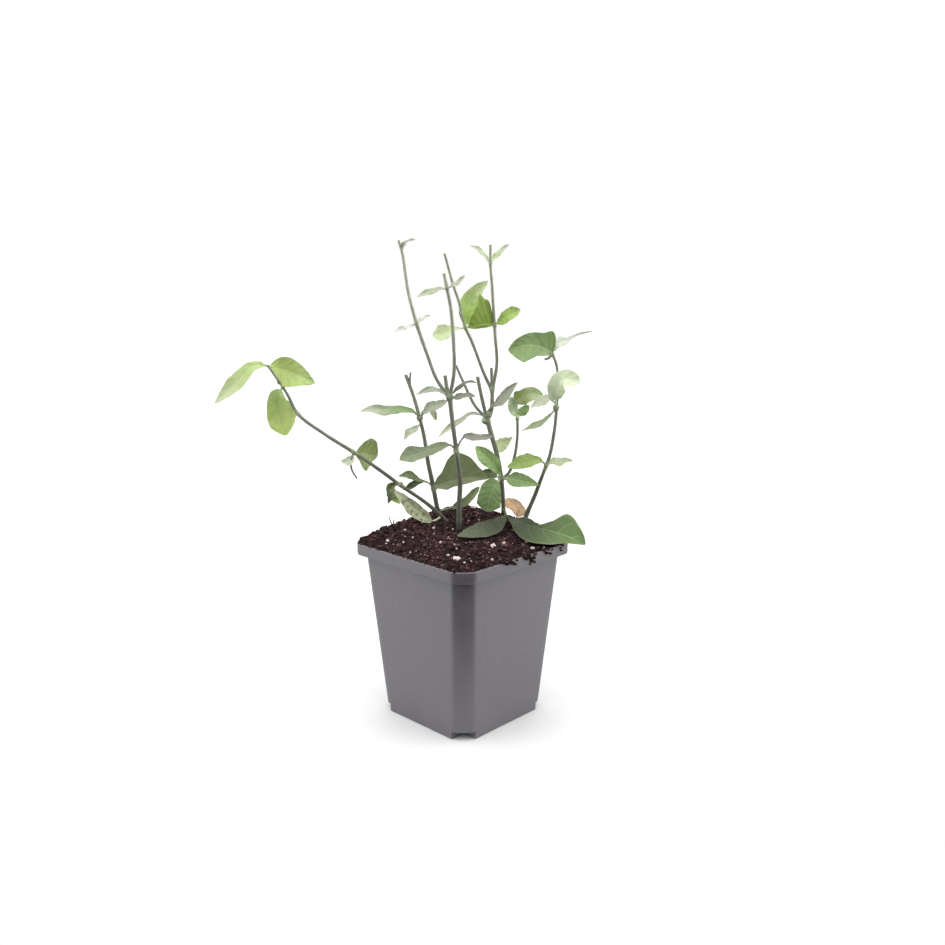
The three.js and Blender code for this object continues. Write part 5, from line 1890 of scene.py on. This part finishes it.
LEFT_STEM = LeafyStem(
    node="leafy_stem_left",
    slot="green_foliage",
    leaves=LEFT_LEAVES,
    stems=(
        Stem(
            (
                (-11, 26, 97), (-13, 25, 105), (-15, 24.5, 112.5), (-18, 23.5, 129.5), (-20.5, 22.5, 142.5),
                (-22.5, 22, 157), (-25, 22, 168.5), (-29, 23, 182.5), (-33, 24, 193.5),
            ),
            (2, 1.3, 1.25, 1.1, 1, 1),
        ),
        Stem(((-30.5, 23.5, 187), (-30.5, 23, 191), (-30, 22.5, 195)), (0.7, 0.6)),
    ),
    knuckles=(Knuckle((-17, 24, 126.5), 1.6), Knuckle((-25, 22, 168.5), 1.9)),
)

CENTRE_LEAVES = (
    # Broad leaf to the left
    Leaf(
        (
            (-3.5, 0, 153.5), (-7, -2, 157), (-12, -4, 156.5),
            (-19.5, -7, 154.5), (-27.5, -10, 152.5), (-34.5, -12, 150.5),
        ),
        ((3, 4, 4, 4.5, 5), (3, 3, 3, 5, 5)),
        SLANT, Tone.SAGE, stalk=0.16, light=0.8,
    ),
    # Waved grey leaf to the right
    Leaf(
        (
            (-3.5, 0, 153.5), (-1, -1, 159), (1, -2, 161.5),
            (7.5, -4, 161.5), (12.5, -5, 161.5), (16.5, -6, 162.5),
        ),
        2.7, (0, -0.6, 0.8), Tone.GREY, form=Form.OVAL, wave=0.6, stalk=0.32, light=0.84,
    ),
    # Pale leaf under the fork
    Leaf(
        ((-7, -3, 183), (-12, -6, 180.5), (-17, -8, 179), (-21, -9, 175.5)),
        3.4, (0, -0.6, 0.8), Tone.SILVER, form=Form.OVAL, light=0.82,
    ),
    # Thin arched leaf
    Leaf(
        ((-7, -3, 184.5), (-11.5, -5, 187), (-16, -8, 189), (-20, -9, 188), (-25, -10, 186)),
        2, SLANT, Tone.SILVER, light=0.86,
    ),
    # Thin upper leaf
    Leaf(
        ((-7, -3, 184.5), (-2.5, -2, 188.5), (1.5, -1, 191.5), (5, 0, 192), (8, 1, 191.5)),
        1.2, SLANT, Tone.GREY, light=0.68,
    ),
    # Grey leaf right of the fork
    Leaf(
        ((-7, -3, 183), (-2.5, -7, 184.5), (2.5, -10, 185.5), (7, -12, 185.5)),
        2.6, (0, -0.6, 0.8), Tone.GREY, light=0.7,
    ),
    # Small leaf of the left shoot, to the left
    Leaf(
        ((-25, 0, 224), (-29, -2, 222.5), (-32.5, -4, 221.5), (-36.5, -5, 220)),
        1.2, SLANT, Tone.GHOST, form=Form.LANCE,
    ),
    # Small leaf of the left shoot, to the right
    Leaf(
        ((-25, 0, 224), (-22.5, 3, 226), (-20.5, 5, 227), (-17.5, 6, 228)),
        1.2, SLANT, Tone.GHOST, form=Form.LANCE, light=0.92,
    ),
    # Leaf at the tip of the left shoot
    Leaf(
        ((-33, 6, 262), (-32, 5, 265.5), (-30, 4, 267.5), (-25.5, 2, 268.5)),
        1.3, SLANT, Tone.SILVER, light=0.9,
    ),
    # Leaf of the right shoot, to the left
    Leaf(
        ((-8, -10, 243), (-11.5, -13, 242.5), (-17, -15, 241), (-23.5, -16, 238.5)),
        2, SLANT, Tone.SILVER, tip=Tone.PALE,
    ),
    # Leaf of the right shoot, to the right
    Leaf(
        ((-8, -10, 243), (-4.5, -8, 244.5), (-1.5, -5, 246.5), (1.5, -3, 249.5)),
        1.5, SLANT, Tone.SILVER,
    ),
)

CENTRE_STEM = LeafyStem(
    node="leafy_stem_centre",
    slot="grey_green_foliage",
    leaves=CENTRE_LEAVES,
    stems=(
        Stem(
            (
                (-2, 7, 96), (-2, 4, 108), (-2, 3, 120.5), (-1.5, 2, 135.5), (-3.5, 0, 153.5),
                (-5.5, -2, 170), (-7, -3, 184.5),
            ),
            (2.1, 1.5, 1.35, 1.25, 1.2, 1.3),
        ),
        Stem(
            (
                (-7, -3, 183.5), (-14, -3, 193.5), (-19, -2, 206.5), (-25, 0, 224), (-29.5, 3, 241),
                (-32.5, 6, 261), (-34.5, 7, 268),
            ),
            (1, 0.75),
        ),
        Stem(((-7, -3, 183.5), (-8.5, -1, 188.5), (-9.5, 0, 195.5)), (1.1, 1.05)),
        Stem(
            (
                (-7, -3, 183.5), (-4.5, -6, 197.5), (-4.5, -8, 211.5), (-6, -9, 232), (-8, -10, 243),
                (-9.5, -10, 250.5),
            ),
            (1.05, 0.8),
        ),
    ),
    knuckles=(
        Knuckle((-3.5, 0, 153), 1.8), Knuckle((-7, -3, 184), 2.3), Knuckle((-25, 0, 224), 1.25),
        Knuckle((-8, -10, 243), 1.3),
    ),
)

BRANCHED_LEAVES = (
    # Upper leaf of the low four
    Leaf(
        ((22.5, 22, 132.5), (20, 18, 139), (14.5, 15, 146), (7.5, 13, 153.5)),
        ((2.5, 3.5, 4.5, 5, 4), (3, 4.5, 4.5, 4, 3)),
        (0, -0.9, 0.45), Tone.GREEN, light=1.9,
    ),
    # Right leaf of the low four
    Leaf(
        ((22.5, 22, 132.5), (28.5, 19, 133), (35.5, 15, 132.5), (44, 12, 131)),
        ((4, 4.8, 4.6, 3.6, 2), (4.5, 5.5, 5.5, 4.5, 2.5)),
        SLANT, Tone.GREEN, light=1.25,
    ),
    # Dark leaf behind the trunk
    Leaf(
        ((21.5, 23, 133), (18.5, 26, 133.5), (15, 29, 134), (10.5, 31, 134.5)),
        3, (0, -0.9, 0.4), Tone.DARK, form=Form.OVAL, light=1.08,
    ),
    # Broad leaf in front of the trunk
    Leaf(
        ((22.5, 22, 132.5), (18.5, 16, 129.5), (15.5, 13, 122.5), (14, 12, 115)),
        ((3, 5, 6.5, 7, 6.5), (5, 7, 7, 7, 6)),
        (0, -0.96, 0.25), Tone.GREEN, light=1.08,
    ),
    # Pale leaf behind the trunk
    Leaf(
        ((18, 22.5, 152.5), (18, 25, 153.7), (21, 28, 153), (25.5, 30, 153.5), (29.5, 31, 156)),
        ((2.5, 3, 2.5, 2.5, 1), (5, 6, 4.5, 2.5, 1)),
        (0.1, -0.95, 0.1), Tone.PALE, stalk=0.24, light=1.8,
    ),
    # Grey leaf right of the fork
    Leaf(
        ((14.5, 22, 171.5), (15.3, 21, 173.8), (19, 18, 178.5), (24, 14, 183.5), (31, 11, 190.5)),
        ((0.5, 1.5, 2.5, 2.5, 1.5), (3, 5, 5.5, 4.5, 2)),
        (-0.4, -0.8, 0.5), Tone.GREY, stalk=0.17, light=1.08,
    ),
    # Pale leaf left of the fork
    Leaf(
        (
            (13.5, 22, 169), (9.5, 24, 170.5), (4.5, 25, 170.5),
            (-1.5, 26, 166.5), (-7.5, 27, 162.5), (-14.5, 27, 156.5),
        ),
        1.9, SLANT, Tone.GREY, tip=Tone.SILVER, form=Form.OVAL, light=1.44,
    ),
    # Large leaf of the left shoot
    Leaf(
        ((1.5, 23, 220.5), (2.5, 25, 227.5), (4, 28, 234), (8, 29, 240), (14.5, 30, 246.5)),
        ((4.5, 5.5, 5.5, 4.5, 3), (3, 5, 5.5, 3.5, 2)),
        (0.1, -0.95, 0.3), Tone.FRESH, tip=Tone.PALE, stalk=0.04, light=1.35,
    ),
    # Pale leaf of the left shoot
    Leaf(
        ((1.5, 23, 220.5), (-4, 26, 219.5), (-9.5, 29, 217.5), (-17.5, 31, 215.5)),
        ((1, 3.5, 5, 5.5, 5), (1, 3, 4, 5, 4.5)),
        (0, -0.8, 0.6), Tone.PALE, stalk=0.08, light=1.18,
    ),
    # Vivid folded leaf of the right shoot
    Leaf(
        ((18, 17, 222.5), (14, 14.5, 222.5), (9, 12, 222), (3, 10, 221)),
        ((1, 1.5, 1.5, 1.5, 1.5, 1), (12, 14.5, 17, 11.5, 8, 4.5)),
        (0.5, -0.85, 0.1), Tone.VIVID, fold=(0, 0), stalk=0.02, light=1.75,
    ),
    # Light leaf of the right shoot
    Leaf(
        ((18, 17, 222.5), (21.5, 14, 225), (26, 11, 228), (32, 9, 231)),
        ((2, 3.5, 4, 4, 3), (3, 4, 4, 4, 3)),
        (-0.2, -0.85, 0.5), Tone.FRESH, stalk=0.1, light=1.4,
    ),
    # Small tip leaf, to the left
    Leaf(
        ((15.5, 14, 256), (13, 12, 259.5), (9.5, 10, 263), (4.5, 8, 265.5)),
        1.6, SLANT, Tone.PALE, tip=Tone.SILVER, light=1.25,
    ),
    # Small tip leaf, to the right
    Leaf(
        ((15.5, 14, 256), (17.5, 16, 259), (21, 18, 262.5), (26, 20, 266.5)),
        1.7, SLANT, Tone.PALE, tip=Tone.SILVER, light=1.14,
    ),
    # Broad leaf of the side branch
    Leaf(
        ((32, 29, 167.5), (30, 27, 175), (35, 24, 181), (40.5, 23, 182.5), (47, 22, 181)),
        ((4.5, 4, 4.5, 4, 2.5), (4, 6, 5.5, 5, 3.5)),
        (-0.1, -0.85, 0.5), Tone.OLIVE, tip=Tone.SAGE, stalk=0.34, light=1.95,
    ),
    # Light leaf of the side branch
    Leaf(
        ((32, 29, 167.5), (30, 25, 172), (28.5, 22, 176.5), (27.5, 20, 181)),
        3.2, (0.2, -0.9, 0.3), Tone.SAGE, form=Form.OVAL, light=1.95,
    ),
    # Small dark leaf of the side branch
    Leaf(
        ((32, 29, 167.5), (34, 31, 170), (36.5, 32, 172), (39, 33, 174.5)),
        2.8, (0, -0.9, 0.4), Tone.GREEN, light=1.3,
    ),
    # Large leaf over the rim, its foot darkened with painted shade
    Leaf(
        (
            (24.5, 21.5, 112.5), (27, 14, 111), (32.5, 5, 111), (40.5, -1, 109.5), (49.5, -4, 108),
            (59, -5, 105), (69.5, -6, 100.5),
        ),
        ((4.5, 5, 3, 7.5, 14.5, 9.5), (4, 10, 15, 15, 10, 5)),
        (0, -0.32, 0.95), Tone.PAINTED_SHADE, tip=Tone.LEAF, fold=(0, 0), tip_fold=(30, 4), wave=0.3, light=1.1,
    ),
    # Leaf that lies on the soil
    Leaf(
        ((24, 21, 114.5), (24.5, 10, 113.5), (18, 2, 111), (10, -5, 109), (3, -10, 108), (-3, -13, 107.5)),
        ((5, 8, 8, 7, 4.5), (2.5, 4, 5, 4, 3)),
        (0.1, -0.42, 0.9), Tone.DARK, tip=Tone.SAGE, fold=(8, 8), stalk=0.25, light=0.35,
    ),
)

BRANCHED_STEM = LeafyStem(
    node="leafy_stem_branched",
    slot="green_foliage",
    leaves=BRANCHED_LEAVES,
    stems=(
        Stem(
            (
                (23.5, 22, 96), (24, 22, 109.5), (23.5, 22, 121), (22.5, 22, 132.5), (20, 22, 146.5),
                (16.5, 22, 159), (14, 22, 168.5),
            ),
            (1.9, 1.25, 1.3, 1.4, 1.5),
        ),
        Stem(
            ((14, 22, 168), (7, 24, 175.5), (3, 26, 183), (-0.5, 27, 190.5), (-4, 28, 198.5)),
            (0.95, 0.75),
        ),
        Stem(((14, 22, 168), (12, 20, 176), (10, 18, 185), (8.5, 17, 193)), (1.05, 1)),
        Stem(((14, 22, 168), (16.5, 22, 173), (17, 22, 185)), (1.2, 1.05)),
        Stem(((17, 22, 184), (16.5, 24, 197.5)), (0.95, 0.9)),
        Stem(
            (
                (17, 22, 184), (12.5, 23, 193.5), (5, 23, 213), (1.5, 23, 220.5), (-2, 22, 234.5),
                (-5.5, 21, 245), (-10, 19, 261.5),
            ),
            (0.95, 0.7),
        ),
        Stem(
            (
                (17, 22, 184), (19.5, 20, 200.5), (18.5, 18, 215), (18, 17, 222), (16.5, 15, 243.5),
                (15.5, 14, 256), (15.5, 13, 266),
            ),
            (0.95, 0.7),
        ),
        Stem(
            (
                (22.5, 22, 132.5), (24.5, 22.5, 133.5), (27.5, 24, 136.5), (30.5, 26, 145.5),
                (32, 28, 156.5), (32, 29, 167.5),
            ),
            (0.95, 0.75),
        ),
    ),
    knuckles=(
        Knuckle((22.5, 22, 132.5), 2), Knuckle((14.5, 22, 170.5), 2.4), Knuckle((13, 22, 167), 2.2),
        Knuckle((17, 22, 185), 1.5), Knuckle((1.5, 23, 220.5), 1.3), Knuckle((18, 17, 222), 1.3),
        Knuckle((15.5, 14, 256), 1.1), Knuckle((32, 29, 167), 1.3),
    ),
)

RIGHT_LEAVES = (
    # Bright leaf of the low pair
    Leaf(
        ((48.5, 17, 141.5), (44, 14.5, 145.5), (35.5, 11, 144), (25.5, 9, 142)),
        ((3.5, 4, 4, 3.5, 3), (2, 5.5, 5.5, 5, 3)),
        SLANT, Tone.FRESH, light=0.93,
    ),
    # Pale leaf of the low pair
    Leaf(
        ((48.5, 17, 141.5), (52, 21, 142.5), (58, 24, 142.5), (65, 26, 142.5)),
        ((2, 3.5, 3.5, 3, 2), (4, 5, 4, 2, 1)),
        (0, -0.5, 0.85), Tone.PALE, light=0.73,
    ),
    # Very pale raised leaf
    Leaf(
        ((53.5, 16, 176), (53, 13, 184.5), (56.5, 10, 192), (66, 7, 191)),
        6.3, (-0.2, -0.75, 0.62), Tone.MINT, form=Form.OVAL,
    ),
    # Light leaf behind the stem
    Leaf(
        ((53.5, 16, 177.5), (49, 16, 181), (44, 14, 178.5), (38.5, 12, 176)),
        3.6, (0, -0.5, 0.8), Tone.SILVER, form=Form.LANCE, light=1.2,
    ),
    # Thin dark leaf
    Leaf(
        ((53, 16, 174.5), (48, 13, 170), (44, 11, 167.5), (39.5, 9, 165.5), (33.5, 8, 163.5)),
        ((1.5, 2, 2.5, 2.5, 1.5), (1, 1.5, 2, 2, 1)),
        (0, -0.5, 0.85), Tone.SAGE, stalk=0.1, light=1.1,
    ),
    # Large leaf at the tip
    Leaf(
        ((51, 17, 206), (46.5, 14.5, 209), (40.5, 13, 211), (33.5, 11, 211), (25.5, 10, 208.5)),
        ((4, 6, 8, 9.5, 9.5), (10, 8, 7, 5.5, 3.5)),
        (0, -0.93, 0.35), Tone.GREEN, stalk=0.01, light=1.38,
    ),
    # Thin leaf at the tip
    Leaf(
        ((51, 17, 206), (53.5, 19, 211), (59, 21, 213.5), (65.5, 22, 216.5), (73.5, 23, 218.5)),
        ((1.5, 3.2, 1.2, 0.7, 0.5), (2.5, 3, 1.2, 0.7, 0.5)),
        (0.1, -0.6, 0.8), Tone.GHOST, tip=Tone.GREY, stalk=0.04,
    ),
)

RIGHT_STEM = LeafyStem(
    node="leafy_stem_right",
    slot="pale_foliage",
    leaves=RIGHT_LEAVES,
    stems=(
        Stem(
            (
                (33, 18, 97), (35, 18, 103.5), (37.5, 18, 112),
                (42, 18, 123), (46, 17.5, 134.5), (50, 17, 146),
                (52, 16.5, 156.5), (53.5, 16, 171), (53.5, 16, 198.5), (51, 17, 206),
            ),
            (1.7, 1.2, 1, 0.95, 0.85, 0.75),
        ),
        Stem(((51, 17, 206), (48.5, 16.5, 203.5), (46.5, 16, 203)), (0.75, 0.7)),
    ),
    knuckles=(
        Knuckle((48.5, 17, 141.5), 1.4), Knuckle((53.5, 16, 175.5), 1.9), Knuckle((51, 17, 206), 1.1),
    ),
)

DRIED_BLADE = (
    Leaf(
        ((32, 21, 98), (31.5, 24, 106.5), (32.7, 28, 110.8), (30.7, 32, 114.8), (26.3, 36, 117.6)),
        ((5, 6.5, 7, 6.5, 5), (5, 5, 4, 3, 2)),
        (0.2, -0.7, 0.7), Tone.TAN, fold=(20, 10), wave=0.8, stalk=0.43, light=0.77,
    ),
)

DRIED_LEAF = LeafyStem(
    node="dried_leaf",
    slot="dry_leaf",
    leaves=DRIED_BLADE,
    foliage=LeafFinish("dried_leaf_skin", roughness=0.7, specular=0.25, cloud_share=0.8, relief=0.7),
)

PLANTS = (RECLINING_STEM, LEFT_STEM, CENTRE_STEM, BRANCHED_STEM, RIGHT_STEM, DRIED_LEAF)


def main() -> None:
    """Builds the scene piece by piece and reports each of them."""
    logging.basicConfig(level=logging.INFO, format="%(name)s: %(message)s")
    effects = SharedEffects()
    Studio().build()
    pot = SquarePot()
    pot.build(PotFinish().material(effects))
    taken = []
    for plant in PLANTS:
        taken += plant.build(effects)
    plants = KDTree(len(taken))
    for place, point in enumerate(taken):
        plants.insert(point, place)
    plants.balance()
    PottingSoil(pot, plants).build(effects)


if __name__ == "__main__":
    main()
